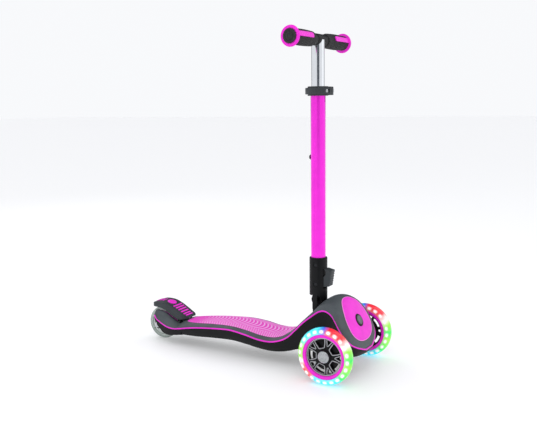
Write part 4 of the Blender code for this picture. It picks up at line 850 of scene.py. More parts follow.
badge = skin(36, 44, lambda a, b: badge_at(-1 + 2 * a, 1 - b, 0.0006))
apply_modifier(badge, 'SOLIDIFY', thickness=0.0014, offset=-1.0, use_even_offset=False)
badge = cut_with(badge, bar_cutter(BEZEL_R, -0.0215, 0.0100, BUTTON_TURN, BUTTON_AT))
done(badge, "badge", "deck", PINK_PLASTIC, "pink_plastic", "badge_panel")
outline = [badge_at(1.0, k / 60, 0.0003) for k in range(61)]
outline += [badge_at(-1.0, 1 - k / 60, 0.0003) for k in range(61)]
badge_line = strip(outline, 0.0007)
done(badge_line, "badge_line", "deck", PALE_PINK, "pink_plastic", angle=60)

# %% [markdown]
# The front tyres are clear polyurethane with lamps inside that light up as the wheel
# turns. The light fills the tyre in bands of colour round the wheel, whitest over each
# lamp and deepest at the outer skin. Real lamps in a clear solid are slow to render and
# don't survive an export, so the glow is a finish: the angle round the axle picks the
# colour from a ramp, and the distance from the axle places the lamps' bright spots.

# %% Finish of the glowing tyre
LAMPS = 22
LAMP_R, LAMP_HALF = 0.0535, 0.0042
MILKY_DEPTH = 0.014
BAND_WANDER = 0.05
TYRE_GLOW = 0.28
GREEN, LIME = (0.02, 0.80, 0.10), (0.30, 0.90, 0.05)
CYAN, BLUE = (0.02, 0.75, 0.90), (0.02, 0.12, 0.75)
RED, WHITE = (0.85, 0.02, 0.04), (1.0, 0.92, 0.88)


def glowing_tyre(name, axle, colours):
    """Clear tyre lit from inside: colours go round the wheel in (share, colour) stops."""
    material, tree, shader, where = new_finish(name, 0.16)
    calc = sums(tree)
    shift = tree.nodes.new('ShaderNodeVectorMath')
    shift.operation = 'SUBTRACT'
    shift.inputs[1].default_value = axle
    link(tree, where, shift.inputs[0])
    parts = tree.nodes.new('ShaderNodeSeparateXYZ')
    link(tree, shift.outputs[0], parts.inputs[0])
    y, z = parts.outputs["Y"], parts.outputs["Z"]
    turn = calc('ARCTAN2', z, y)
    share = calc('ADD', calc('DIVIDE', turn, 2 * pi), 0.5)
    wander = calc('MULTIPLY', calc('SUBTRACT', noise(tree, where, 60.0), 0.5), BAND_WANDER)
    colour = ramp(tree, calc('ADD', share, wander), colours)
    radius = calc('SQRT', calc('ADD', calc('MULTIPLY', y, y), calc('MULTIPLY', z, z)))
    beat = calc('SINE', calc('MULTIPLY', turn, float(LAMPS)))
    beat = calc('MULTIPLY', calc('ADD', beat, 1.0), 0.5)
    off_ring = calc('ABSOLUTE', calc('SUBTRACT', radius, LAMP_R))
    near_ring = calc('SUBTRACT', 1.0, calc('DIVIDE', off_ring, LAMP_HALF))
    spot = calc('MULTIPLY', calc('POWER', beat, 1.3), calc('MAXIMUM', near_ring, 0.0))
    depth = calc('DIVIDE', calc('SUBTRACT', LAMP_R, radius), MILKY_DEPTH)
    milky = calc('MULTIPLY', calc('MAXIMUM', depth, 0.0), 0.45)
    lamp = calc('MINIMUM', calc('ADD', calc('MULTIPLY', spot, 1.7), milky), 1.0)
    mixed = tree.nodes.new('ShaderNodeMix')
    mixed.data_type = 'RGBA'
    link(tree, lamp, mixed.inputs[0])
    link(tree, colour, mixed.inputs[6])
    mixed.inputs[7].default_value = (1.0, 0.98, 0.96, 1.0)
    link(tree, mixed.outputs[2], shader.inputs["Base Color"])
    link(tree, mixed.outputs[2], shader.inputs["Emission Color"])
    shader.inputs["Emission Strength"].default_value = TYRE_GLOW
    shader.inputs["Coat Weight"].default_value = 0.6
    shader.inputs["Coat Roughness"].default_value = 0.08
    relief(tree, noise(tree, where, 260.0), shader, 0.15, 0.0001)
    return material


# Shares start at the wheel's front and go down, to the rear, and over the top.
BANDS = [(0.00, GREEN), (0.04, LIME), (0.12, GREEN), (0.17, CYAN), (0.32, CYAN), (0.35, RED),
         (0.42, RED), (0.45, WHITE), (0.48, LIME), (0.56, LIME), (0.60, CYAN), (0.71, CYAN),
         (0.745, BLUE), (0.775, RED), (0.87, RED), (0.91, WHITE), (0.95, LIME), (1.00, GREEN)]
print("lamps per tyre:", LAMPS)

# %% [markdown]
# A tyre is a lathe job: a ring of vertices is extruded along the section, with a flat
# inner face on the rim band and a crowned tread.

# %% Front tyres
TYRE_R = FRONT_AXLE.z
TYRE_INNER = TYRE_R - 0.0132
TYRE_HALF = 0.012
CROWN = 0.0095


def tyre_profile(inner, outer, half, crown):
    """The tyre's section as (radius, height), once round."""
    points = [(inner, half - 0.0006), (inner + 0.0008, half)]
    for k in range(19):
        angle = pi * k / 18
        points.append((outer - crown + crown * sin(angle), half * cos(angle) * 0.985))
    return points + [(inner + 0.0008, -half), (inner, -half + 0.0006)]


for side, label in SIDES:
    tyre = ring_path(tyre_profile(TYRE_INNER, TYRE_R, TYRE_HALF, CROWN), 96)
    stand_on(tyre, ALONG_X, wheel_centre(side))
    glow = glowing_tyre("light_up_tyre_" + label, wheel_centre(side), BANDS)
    done(tyre, "light_tyre_" + label, label + "_wheel", glow, "light_up_tyre",
         "front_tyre_" + label)

# %% [markdown]
# Inside the tyre sits a pink band, then a thin grey ring, then the spoked hub. The band
# is another lathe job with soft edges.

# %% Pink rim bands
BAND_R = TYRE_INNER - 0.0003
BAND_INNER = BAND_R - 0.0067
half_section = [(BAND_INNER, 0.0095), (BAND_INNER + 0.0012, 0.0108),
                (BAND_R - 0.0010, 0.0112), (BAND_R, 0.0104)]
for side, label in SIDES:
    band = stand_on(ring_path(mirrored(half_section), 96), ALONG_X, wheel_centre(side))
    done(band, "pink_band_" + label, label + "_wheel", PINK_PLASTIC, "pink_plastic",
         "rim_band_" + label)

# %% [markdown]
# The hub has five pairs of spokes that fork towards the rim, and a raised ridge runs
# along each window's edge. The hub disc is a lathe job, the windows are cut right
# through it, and a thin black web behind them closes the inner part again. The ridges
# are cords laid round the windows on the outer face. Their silver is a painted highlight along
# the spokes' edges.

# %% Spoked hubs
HUB_R = BAND_INNER - 0.0003
HUB_FACE = 0.0065
BOSS_R = 0.0148
BORE_R = 0.0113


def polar(radius, angle):
    """A point at an angle round the hub."""
    return radius * cos(angle), radius * sin(angle)


def both_sides(sides, middle):
    """(radius, degrees) points down one side of a window and back up the other."""
    right = [polar(radius, middle + radians(span)) for radius, span in sides]
    return right + [polar(radius, middle - radians(span)) for radius, span in reversed(sides)]


def petal_outline(middle):
    """A wide window between two twin spokes, rounded at its inner end."""
    outer, inner = HUB_R - 0.0030, BOSS_R + 0.0030
    points = [polar(outer, middle + radians(-19.5 + 39 * k / 10)) for k in range(11)]
    sides = ((outer * 0.80, 20.5), (outer * 0.62, 20.0), (inner + 0.0016, 19.0),
             (inner + 0.0003, 15.0))
    return points + both_sides(sides, middle)


def fork_outline(middle):
    """The small window in a spoke's fork, near the rim."""
    outer = HUB_R - 0.0030
    points = [polar(outer, middle + radians(-9.5 + 19 * k / 6)) for k in range(7)]
    sides = ((outer * 0.86, 8.0), (outer * 0.74, 5.0), (outer * 0.64, 2.4))
    return points + both_sides(sides, middle)


WINDOWS = []
for k in range(5):
    middle = 2 * pi * k / 5 + pi / 2
    WINDOWS.append(petal_outline(middle))
    WINDOWS.append(fork_outline(middle + pi / 5))


def make_hub(side, label):
    """One spoked hub with its boss, silver window cords as painted highlight, and rim ring."""
    axle, turn = wheel_centre(side), facing_out(side)
    section = [(BORE_R, 0.0100), (BOSS_R - 0.0008, 0.0100), (BOSS_R, 0.0092),
               (BOSS_R + 0.0010, HUB_FACE - 0.0010), (HUB_R - 0.0040, HUB_FACE - 0.0026),
               (HUB_R - 0.0022, HUB_FACE), (HUB_R, HUB_FACE), (HUB_R, -HUB_FACE),
               (HUB_R - 0.0022, -HUB_FACE), (BOSS_R + 0.0010, -HUB_FACE + 0.0010),
               (BOSS_R, -0.0100), (BORE_R, -0.0100)]
    hub = ring_path(section, 80)
    cut_with(hub, join_all([flat_part(points, -0.02, 0.02, UPRIGHT, Vector())
                            for points in WINDOWS]))
    round_edges(hub, 0.0006, 2, 50)
    web = ring_path([(BOSS_R - 0.0004, -0.0020), (HUB_R * 0.76, -0.0026),
                     (HUB_R * 0.78, -0.0034), (HUB_R * 0.76, -0.0042),
                     (BOSS_R - 0.0004, -0.0048)], 80)
    hub = stand_on(join_all([hub, web]), turn, axle)
    done(hub, "spoked_web_" + label, label + "_wheel", BLACK_PLASTIC, "black_plastic",
         "spoked_hub_" + label)
    # The cords round the windows are silver: a painted highlight along the spokes' edges.
    lines = []
    for points in WINDOWS:
        run = []
        for x, y in points + points[:1]:
            radius = sqrt(x * x + y * y)
            slope = (radius - BOSS_R) / (HUB_R - 0.0040 - BOSS_R)
            face = HUB_FACE - 0.0010 - 0.0016 * slope
            grown = (radius + GAP) / radius
            run.append(Vector((x * grown, y * grown, face + 0.0002)))
        lines.append(strip(run, 0.0010))
    low, high = HUB_FACE - 0.0002, HUB_FACE + 0.0006
    lines.append(ring_path([(HUB_R - 0.0024, low), (HUB_R - 0.0020, high),
                            (HUB_R - 0.0004, high), (HUB_R - 0.0002, low)], 80))
    highlight_cords_and_ring = stand_on(join_all(lines), turn, axle)
    done(highlight_cords_and_ring, "highlight_cords_and_rim_ring_" + label, label + "_wheel", SILVER_PLASTIC,
         "silver_plastic", angle=60)


for side, label in SIDES:
    make_hub(side, label)

# %% [markdown]
# A pressed silver cap with two turned grooves closes the hub. Nothing is printed on it.

# %% Hub caps
for side, label in SIDES:
    back, face = sorted(abs(corner.x) - WHEEL_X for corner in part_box("hub_cap_" + label))
    rise = face - back
    cap = ring_path([(0.0008, face - rise * 0.25), (0.0030, face - rise * 0.22),
                     (0.0036, face - rise * 0.05), (0.0066, face), (0.0070, face - 0.0005),
                     (0.0078, face - 0.0005), (0.0082, face), (0.0098, face - 0.0002),
                     (0.0114, back + rise * 0.55), (0.0124, back + 0.0004), (0.0124, back),
                     (0.0008, back)], 64, closed=False)
    stand_on(cap, facing_out(side), wheel_centre(side))
    done(cap, "silver_cap_" + label, label + "_wheel", SILVER_PLASTIC, "silver_plastic",
         "hub_cap_" + label)

# %% [markdown]
# The rear tyre is clear too, grey-green and unlit, over a pale core with dark slots.
# Some light goes through it, so its finish lets half of it pass.

# %% Rear wheel
clear_tyre, tree, shader, where = new_finish("clear_grey_tyre", 0.14)
link(tree, ramp(tree, noise(tree, where, 50.0), [(0.3, (0.40, 0.47, 0.43)),
                                                (0.7, (0.56, 0.62, 0.58))]),
     shader.inputs["Base Color"])
link(tree, spread(tree, noise(tree, where, 150.0), 0.10, 0.24), shader.inputs["Roughness"])
relief(tree, noise(tree, where, 260.0), shader, 0.15, 0.0001)
shader.inputs["Transmission Weight"].default_value = 0.45
shader.inputs["IOR"].default_value = 1.3
REAR_R = REAR_AXLE.z
REAR_INNER = REAR_R - 0.0132
rear_tyre = ring_path(tyre_profile(REAR_INNER, REAR_R, TYRE_HALF, CROWN), 80)
stand_on(rear_tyre, ALONG_X, REAR_AXLE)
done(rear_tyre, "clear_rear_tyre", "rear_wheel", clear_tyre, "clear_grey_tyre", "rear_tyre")
core = ring_path(mirrored([(0.0113, 0.0110), (0.0143, 0.0110), (0.0150, 0.0078),
                           (REAR_INNER - 0.0036, 0.0070), (REAR_INNER - 0.0030, 0.0092),
                           (REAR_INNER - 0.0003, 0.0092)]), 72)
slots = []
for k in range(8):
    middle = 2 * pi * k / 8
    run = [(r * cos(middle + a), r * sin(middle + a))
           for r, a in ((0.0160, -0.24), (0.0220, -0.27), (0.0220, 0.27), (0.0160, 0.24))]
    slots.append(flat_part(run, -0.02, 0.02, UPRIGHT, Vector()))
cut_with(core, join_all(slots))
round_edges(core, 0.0005, 2, 40)
stand_on(core, ALONG_X, REAR_AXLE)
done(core, "pale_core", "rear_wheel", WHITE_CORE, "white_core", "rear_core")

# %% [markdown]
# The foot brake is a thick moulded lever that arches over the rear wheel. It is a grid
# wrapped into a closed ring: its side profile sets the height, its plan narrows at the
# tail and the toe, and a little smoothing keeps both ends soft. A lighter layer lines
# its underside.

# %% Brake lever
BRAKE_TOP = [(0.0200, 0.0850), (0.0194, 0.0910), (0.0150, 0.0942), (0.0050, 0.0962),
             (-0.0050, 0.0968), (-0.0176, 0.0960), (-0.0286, 0.0935), (-0.0446, 0.0865),
             (-0.0586, 0.0785), (-0.0696, 0.0712), (-0.0800, 0.0675), (-0.0850, 0.0655)]
BRAKE_UNDER = [(-0.0850, 0.0630), (-0.0760, 0.0620), (-0.0690, 0.0600), (-0.0586, 0.0590),
               (-0.0446, 0.0645), (-0.0336, 0.0715), (-0.0226, 0.0785), (-0.0096, 0.0825),
               (0.0014, 0.0832), (0.0100, 0.0834), (0.0170, 0.0832)]
BRAKE_HALF = 0.024
BRAKE_TAIL, BRAKE_TOE = 0.0200, -0.0850


def brake_width(y):
    """Half the lever's width at y behind the axle: rounded at the tail and the toe."""
    tail = min(max((BRAKE_TAIL + 0.0005 - y) / 0.0150, 0.0), 1.0)
    toe = min(max((y - BRAKE_TOE + 0.0005) / 0.0200, 0.0), 1.0)
    round_tail = 0.42 + 0.58 * sqrt(1 - (1 - tail) ** 2)
    round_toe = 0.40 + 0.60 * sqrt(1 - (1 - toe) ** 2)
    return BRAKE_HALF * min(round_tail, round_toe)


def brake_height(y, run):
    """The height of a side profile at y."""
    points = sorted(run)
    for (y0, z0), (y1, z1) in zip(points, points[1:]):
        if y0 <= y <= y1:
            return z0 + (z1 - z0) * (y - y0) / (y1 - y0)
    return points[0][1] if y < points[0][0] else points[-1][1]


def eased(y, run):
    """The profile's height, smoothed over a few millimetres."""
    return sum(brake_height(y + d, run) for d in (-0.003, -0.0015, 0.0, 0.0015, 0.003)) / 5


def brake_ring_point(a, b):
    """The lever as a wrapped grid: a goes round the section, b from tail to toe."""
    y = BRAKE_TAIL + (BRAKE_TOE - BRAKE_TAIL) * b
    top, under = eased(y, BRAKE_TOP), eased(y, BRAKE_UNDER)
    end = min(b, 1 - b)
    fade = sqrt(1 - (1 - min(end / 0.05, 1.0)) ** 2)
    middle = (top + under) / 2
    thick = (top - under) / 2 * (0.25 + 0.75 * fade)
    angle = 2 * pi * a
    across = brake_width(y) * max(min(1.25 * sin(angle), 1.0), -1.0)
    crown = 1 - 0.10 * (across / BRAKE_HALF) ** 2
    lift = max(min(1.9 * cos(angle), 1.0), -1.0)
    rise = thick * lift * (crown if lift > 0 else 1)
    return Vector((across, REAR_AXLE.y + y, middle + rise))


BRAKE_AROUND, BRAKE_ALONG = 64, 110
brake = skin(BRAKE_AROUND, BRAKE_ALONG, brake_ring_point, wrap=True)
hub = ring_path([(0.0034, 0.0054), (0.0058, 0.0054), (0.0062, 0.0050), (0.0062, -0.0154),
                 (0.0058, -0.0158), (0.0034, -0.0158)], 40)
stand_on(hub, ALONG_X, BRAKE_PIN)
brake = join_all([brake, hub])
done(brake, "brake", "brake", DARK_SLATE, "slate_grey_plastic", "brake_lever", angle=50)

# %% [markdown]
# Pink inserts show through the lever: cross ribs down its slope, a round boss with a
# groove at its crest, and three short notches near the tail. The ribs are blocks laid
# on the slope and rounded; the boss is a lathe job that leans with the surface.

# %% Pink ribs, boss and notches on the brake
def on_brake(y):
    """A point on the lever's crown, and the lean of its slope."""
    ahead, behind = eased(y + 0.001, BRAKE_TOP), eased(y - 0.001, BRAKE_TOP)
    lean = atan2(ahead - behind, 0.002)
    return Vector((0.0, REAR_AXLE.y + y, eased(y, BRAKE_TOP))), lean


def rib(y, half_width, half_depth, height):
    """One rounded block across the lever."""
    spot, lean = on_brake(y)
    piece = block((-half_width, -half_depth, -0.0012), (half_width, half_depth, height))
    round_edges(piece, min(half_depth, 0.0009) * 0.9, 3, 30)
    return stand_on(piece, Matrix.Rotation(lean, 4, 'X'), spot)


RIBS, RIB_START, RIB_PITCH = 6, -0.0420, 0.0068
NOTCHES, NOTCH_START, NOTCH_PITCH = 3, 0.0110, 0.0078
BOSS_Y = -0.0255
inserts = []
for k in range(RIBS):
    share = k / (RIBS - 1)
    inserts.append(rib(RIB_START - RIB_PITCH * k, 0.0165 - 0.0035 * share, 0.0019, 0.0011))
for k in range(NOTCHES):
    inserts.append(rib(NOTCH_START - NOTCH_PITCH * k, 0.0100, 0.0014, 0.0009))
spot, lean = on_brake(BOSS_Y)
boss = ring_path([(0.0010, 0.0016), (0.0052, 0.0017), (0.0056, 0.0009), (0.0064, 0.0009),
                  (0.0068, 0.0017), (0.0100, 0.0013), (0.0110, 0.0004), (0.0112, -0.0010),
                  (0.0010, -0.0010)], 56, closed=False)
inserts.append(stand_on(boss, Matrix.Rotation(lean, 4, 'X'), spot))
done(join_all(inserts), "brake_pink", "brake", PINK_PLASTIC, "pink_plastic", "brake_insert",
     angle=50)

# %% [markdown]
# The underside carries a worn friction layer where it meets the tyre. It is a thin
# grid that follows the lever's lower line. Most of its thickness sits in the lever, so
# it clears the tyre when the brake is pressed.

# %% Friction layer under the brake
PAD_RISE, PAD_THICK = 0.0009, 0.0012


def pad_point(a, b):
    """The grid's place under the lever."""
    y = 0.0120 - 0.0500 * b
    half = min(brake_width(y), 0.0200)
    return Vector((half * (1 - 2 * a), REAR_AXLE.y + y, eased(y, BRAKE_UNDER) + PAD_RISE))


pad = skin(12, 40, pad_point)
apply_modifier(pad, 'SOLIDIFY', thickness=PAD_THICK, offset=-1.0)
PAD_GREY = moulded("friction_layer", (0.16, 0.18, 0.19), 0.6, drift=0.2,
                   stretch=(1.0, 0.1, 1.0))
done(pad, "friction_layer", "brake", PAD_GREY, "slate_grey_plastic", angle=40)

# %% [markdown]
# The stem starts in a black housing that pivots on the nose. It is a turned sleeve. Its
# foot is kept only where it overlaps a round bar, so that it can swing down inside its
# scoop. It is slotted for the steel tongue and for the release lever, and the rim at
# its top is chamfered.

# %% Stem housing
HOUSING_R = 0.0195
STEM_R = 0.0158
housing_high = height_of("stem_housing")[1]
foot = PIVOT.z - HOUSING_R - 0.001
profile = [(STEM_R + GAP, housing_high - 0.0005), (STEM_R + 0.0010, housing_high),
           (HOUSING_R - 0.0018, housing_high), (HOUSING_R - 0.0006, housing_high - 0.0010),
           (HOUSING_R, housing_high - 0.0024), (HOUSING_R, foot), (0.0010, foot),
           (0.0010, PIVOT.z + 0.030), (STEM_R + GAP, PIVOT.z + 0.032)]
housing = stand_on(ring_path(profile, 72), UPRIGHT, ON_STEM)
side_view = [(HOUSING_R * 1.01, housing_high + 0.01), (-HOUSING_R * 1.01, housing_high + 0.01)]
for k in range(25):
    angle = pi + pi * k / 24
    side_view.append((HOUSING_R * cos(angle), PIVOT.z + HOUSING_R * sin(angle)))
round_foot = flat_part(side_view, -0.03, 0.03, SIDE_ON, ON_STEM)
apply_modifier(housing, 'BOOLEAN', operation='INTERSECT', solver='EXACT', object=round_foot)
bpy.data.objects.remove(round_foot)
tongue_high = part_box("fold_bracket")[1]
slot_half = tongue_high.x + 0.0006
tongue_r = tongue_high.z - PIVOT.z + 0.0008
slots = [bar_cutter(tongue_r, -slot_half, slot_half, ALONG_X, PIVOT, 48),
         block((-slot_half, STEM_Y - 0.03, PIVOT.z - 0.03),
               (slot_half, STEM_Y + 0.03, PIVOT.z)),
         block((-slot_half, STEM_Y, PIVOT.z - 0.03),
               (slot_half, STEM_Y + 0.03, PIVOT.z + 0.011))]
lever_low, lever_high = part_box("fold_lever")
gate = block((lever_low.x - 0.0006, lever_low.y - 0.005, lever_low.z - 0.003),
             (lever_high.x + 0.0006, STEM_Y - 0.0163, lever_high.z + 0.0012))
gate_foot = block((lever_low.x - 0.0006, STEM_Y - 0.0200, lever_low.z - 0.003),
                  (lever_high.x + 0.0006, STEM_Y + 0.0080, PIVOT.z + 0.048))
for z in (centre_of("lever_pin").z, centre_of("clamp_bolt").z):
    seat = bar_cutter(0.0049, -HOUSING_R - 0.001, -HOUSING_R + 0.0030, ALONG_X,
                      Vector((0.0, STEM_Y - 0.002, z)), 32)
    slots.append(seat)
cut_with(housing, *slots, gate, gate_foot)
round_edges(housing, 0.0006, 2, 50)
done(housing, "housing", "stem", BLACK_PLASTIC, "black_plastic", "stem_housing", angle=40)

# %% [markdown]
# The release lever on the housing's front is a wedge that the fingers squeeze. Its side
# outline is extruded and rounded, and grooves across its face give grip.

# %% Release lever
LEVER_OUTLINE = [(-0.0186, 0.2178), (-0.0200, 0.2182), (-0.0346, 0.2151), (-0.0352, 0.2140),
                 (-0.0300, 0.1815), (-0.0288, 0.1800), (-0.0190, 0.1786), (-0.0060, 0.1775),
                 (0.0030, 0.1790), (0.0050, 0.1847), (0.0030, 0.1905), (-0.0040, 0.1925),
                 (-0.0170, 0.2000), (-0.0215, 0.2060), (-0.0222, 0.2110)]
half = lever_high.x - 0.0001
lever = flat_part(LEVER_OUTLINE, -half, half, SIDE_ON, ON_STEM)
grooves = []
for k in range(5):
    share = (k + 1) / 6
    y = STEM_Y - 0.0352 + 0.0052 * share
    z = 0.2140 - 0.0325 * share
    grooves.append(bar_cutter(0.0011, -half - 0.001, half + 0.001, ALONG_X,
                              Vector((0.0, y - 0.0003, z)), 20))
cut_with(lever, join_all(grooves))
cut_with(lever, bar_cutter(0.0028, -0.02, 0.02, ALONG_X, centre_of("lever_pin"), 32))
round_edges(lever, 0.0009, 3, 40)
done(lever, "release_lever", "fold_lever", DARK_SLATE, "slate_grey_plastic", "fold_lever",
     angle=40)

# %% [markdown]
# The lower stem is a bright anodised tube. Anodising keeps the metal's shine under a
# clear colour, so its finish is part metal, with faint drawn lines along its length.
# Its top is slit so that the collar can squeeze it.

# %% Stem tubes
tube_low, tube_high = height_of("stem_tube")
wall = 0.0016
section = [(STEM_R - wall, tube_low), (STEM_R - wall, tube_high - 0.0004),
           (STEM_R - wall + 0.0004, tube_high), (STEM_R - 0.0004, tube_high),
           (STEM_R, tube_high - 0.0004), (STEM_R, tube_low)]
stem = stand_on(ring_path(section, 80), UPRIGHT, ON_STEM)
PIN_HOLE_R, PIN_STEP = 0.0038, 0.050
SLIT_HALF = 0.0012


def pin_hole(step):
    """A cutter for the height pin's hole, a number of steps above the pin."""
    height = centre_of("height_pin").z + step * PIN_STEP
    return bar_cutter(PIN_HOLE_R, 0.0, 0.03, ALONG_Y, Vector((0.0, STEM_Y, height)), 32)


slit = block((-SLIT_HALF, STEM_Y - 0.03, tube_high - 0.030),
             (SLIT_HALF, STEM_Y, tube_high + 0.01))
cut_with(stem, pin_hole(0), slit)
done(stem, "magenta_stem", "stem", MAGENTA_TUBE, "magenta_anodised", "stem_tube", angle=30)
inner_low = height_of("inner_tube")[0]
INNER_R = 0.0137
BAR_R = 0.0115
section = [(INNER_R - 0.0015, inner_low), (INNER_R - 0.0015, BAR.z), (INNER_R, BAR.z),
           (INNER_R, inner_low)]
inner = stand_on(ring_path(section, 80), UPRIGHT, ON_STEM)
bar_seat = bar_cutter(BAR_R + GAP, -0.03, 0.03, ALONG_X, BAR, 64)
cut_with(inner, bar_seat, *[pin_hole(1 - k) for k in range(4)])
done(inner, "chrome_tube", "t_bar", CHROME, "chrome", "inner_tube", angle=30)

# %% [markdown]
# The collar is a split ring with two ears. A bolt pulls the ears together when the
# curved lever is closed against the ring. The ring is turned, the ears are a block
# with rounded edges, and the split is cut through both.

# %% Clamp collar and quick release
collar_low, collar_high = height_of("tube_collar")
COLLAR_R = STEM_R + 0.0063
section = [(INNER_R + 0.0006, collar_high), (COLLAR_R - 0.0012, collar_high),
           (COLLAR_R - 0.0003, collar_high - 0.0004), (COLLAR_R, collar_high - 0.0014),
           (COLLAR_R - 0.0001, collar_high - 0.0050),
           (COLLAR_R - 0.0007, collar_high - 0.0056),
           (COLLAR_R - 0.0007, collar_low + 0.0056),
           (COLLAR_R - 0.0001, collar_low + 0.0050),
           (COLLAR_R, collar_low + 0.0014), (COLLAR_R - 0.0003, collar_low + 0.0004),
           (COLLAR_R - 0.0012, collar_low), (STEM_R + 0.0003, collar_low),
           (STEM_R + 0.0003, tube_high + 0.0003), (INNER_R + 0.0006, tube_high + 0.0003)]
collar = stand_on(ring_path(section, 72), UPRIGHT, ON_STEM)
bolt_at = Vector((0.0, STEM_Y - COLLAR_R - 0.0045, (collar_low + collar_high) / 2))
ears = block((-0.0085, bolt_at.y - 0.0055, collar_low + 0.001),
             (0.0085, STEM_Y - STEM_R - 0.0020, collar_high - 0.001))
round_edges(ears, 0.0014, 3, 30)
cut_with(ears, bar_cutter(0.0028, -0.03, 0.03, ALONG_X, bolt_at, 32),
         block((-SLIT_HALF, bolt_at.y - 0.02, collar_low - 0.01),
               (SLIT_HALF, STEM_Y, collar_high)))
cut_with(collar, block((-SLIT_HALF, STEM_Y - 0.03, collar_low - 0.01),
                       (SLIT_HALF, STEM_Y - 0.010, collar_high + 0.01)))
collar = join_all([collar, ears])
done(collar, "clamp_collar", "stem", DARK_SLATE, "slate_grey_plastic", "tube_collar", angle=40)

PIN_X = -0.0151
CLIP_LOW, CLIP_HIGH = height_of("quick_release_lever")
CLIP_IN, CLIP_OUT = COLLAR_R + 0.0008, COLLAR_R + 0.0048


def clip_arc(radius, start, end):
    """Seventeen points round the stem, from one angle in degrees to another."""
    return [(radius * cos(angle), radius * sin(angle))
            for angle in (radians(start + (end - start) * k / 16) for k in range(17))]


outline = clip_arc(CLIP_OUT, 105, 205)
offset = bolt_at.y - STEM_Y
outline += [(PIN_X - 0.0056, offset + 0.0005), (PIN_X - 0.0030, offset - 0.0020),
            (PIN_X + 0.0030, offset + 0.0040)]
outline += clip_arc(CLIP_IN, 205, 105)
clip = flat_part(outline, CLIP_LOW, CLIP_HIGH, UPRIGHT, ON_STEM)
round_edges(clip, 0.0008, 3, 45)
cam = ring_path([(0.0034, CLIP_HIGH), (0.0053, CLIP_HIGH), (0.0060, CLIP_HIGH - 0.0007),
                 (0.0060, CLIP_LOW + 0.0007), (0.0053, CLIP_LOW), (0.0034, CLIP_LOW)], 40)
stand_on(cam, UPRIGHT, Vector((PIN_X, bolt_at.y, 0.0)))
slot_low, slot_high = bolt_at.z - 0.0032, bolt_at.z + 0.0032
for piece in (clip, cam):
    cut_with(piece,
             block((PIN_X - 0.001, bolt_at.y - 0.02, slot_low),
                   (0.03, bolt_at.y + 0.0045, slot_high)),
             block((PIN_X - 0.012, bolt_at.y - 0.02, slot_low),
                   (PIN_X, bolt_at.y, slot_high)))
clip = join_all([clip, cam])
done(clip, "release_clip", "quick_release", DARK_SLATE, "slate_grey_plastic",
     "quick_release_lever", angle=40)

# %% [markdown]
# The steering lock is a round button in a dark bezel on the badge. Both are lathe jobs;
# the button's face is dished for the thumb.

# %% Steering-lock button
bezel = ring_path([(0.0103, -0.0045), (0.0103, 0.0008), (0.0110, 0.0016), (0.0132, 0.0016),
                   (0.0139, 0.0009), (0.0139, -0.0045)], 64)
stand_on(bezel, BUTTON_TURN, BUTTON_AT)
done(bezel, "lock_bezel", "deck", BLACK_PLASTIC, "black_plastic", "button_bezel", angle=40)
BUTTON_TOP = 0.0030
button = ring_path([(0.0006, BUTTON_TOP - 0.0008), (0.0040, BUTTON_TOP - 0.0006),
                    (0.0072, BUTTON_TOP - 0.0001), (0.0086, BUTTON_TOP),
                    (0.0096, BUTTON_TOP - 0.0004), (0.0100, BUTTON_TOP - 0.0014),
                    (0.0100, -0.0100), (0.0078, -0.0100), (0.0078, BUTTON_TOP - 0.0020),
                    (0.0006, BUTTON_TOP - 0.0020)], 64, closed=False)
stand_on(button, BUTTON_TURN, BUTTON_AT)
BUTTON_GREY = moulded("button_grey", (0.13, 0.14, 0.15), 0.40)
done(button, "lock_knob", "lock_button", BUTTON_GREY, "slate_grey_plastic", "lock_button",
     angle=40)

# %% [markdown]
# The T-bar's cross tube is black, with a thicker welded sleeve where it meets the
# upright. Both are turned about the bar's own line.

# %% Cross tube
FLANGE_LOW, FLANGE_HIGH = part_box("grip_flange_left")
FLANGE_END = FLANGE_HIGH.x
FLANGE_X = FLANGE_END - 0.0045
end = FLANGE_END - 0.0012
section = mirrored([(BAR_R - 0.0018, end), (BAR_R, end), (BAR_R, 0.0190),
                    (BAR_R + 0.0006, 0.0182), (BAR_R + 0.0010, 0.0160)])
bar = stand_on(ring_path(section, 72), ALONG_X, BAR)
done(bar, "cross_tube", "t_bar", BLACK_PLASTIC, "black_plastic", "crossbar", angle=30)

# %% [markdown]
# The grips are soft rubber, a little thicker in the middle, with fine rings that stop
# the hand from slipping. The rings are real steps in the turned section, so they show
# at the outline too.

# %% Section of the rubber grips
GRIP_R = 0.0155
grip_low, grip_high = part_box("grip_left")
GRIP_START = grip_low.x
GRIP_END = grip_high.x
RINGS = 26


def grip_profile():
    """The grip's section, from the flange inwards and back along its bore."""
    points = [(BAR_R + GAP, GRIP_END), (GRIP_R + 0.0004, GRIP_END)]
    run = GRIP_END - GRIP_START - 0.012
    for k in range(RINGS):
        share = k / (RINGS - 1)
        x = GRIP_END - 0.003 - share * run
        radius = GRIP_R + 0.0010 * sin(share * pi)
        points += [(radius, x), (radius, x - run / RINGS * 0.50),
                   (radius - 0.0005, x - run / RINGS * 0.58),
                   (radius - 0.0005, x - run / RINGS * 0.92)]
    return points + [(GRIP_R - 0.0010, GRIP_START + 0.0040),
                     (GRIP_R - 0.0026, GRIP_START + 0.0010), (GRIP_R - 0.0032, GRIP_START),
                     (BAR_R + GAP, GRIP_START)]


print("rings per grip:", RINGS)

# %% [markdown]
# Each grip ends in a pink flange that keeps the hand on the bar. A pink tongue runs from
# it along the front of the grip. The tongue is a grid laid on the grip's round surface,
# with a rounded tip, and made thick by Solidify.

# %% Grips, flanges and end caps
PRONG_TILT = radians(-18)
PRONG_END = 0.052
PRONG_SPAN = 0.30


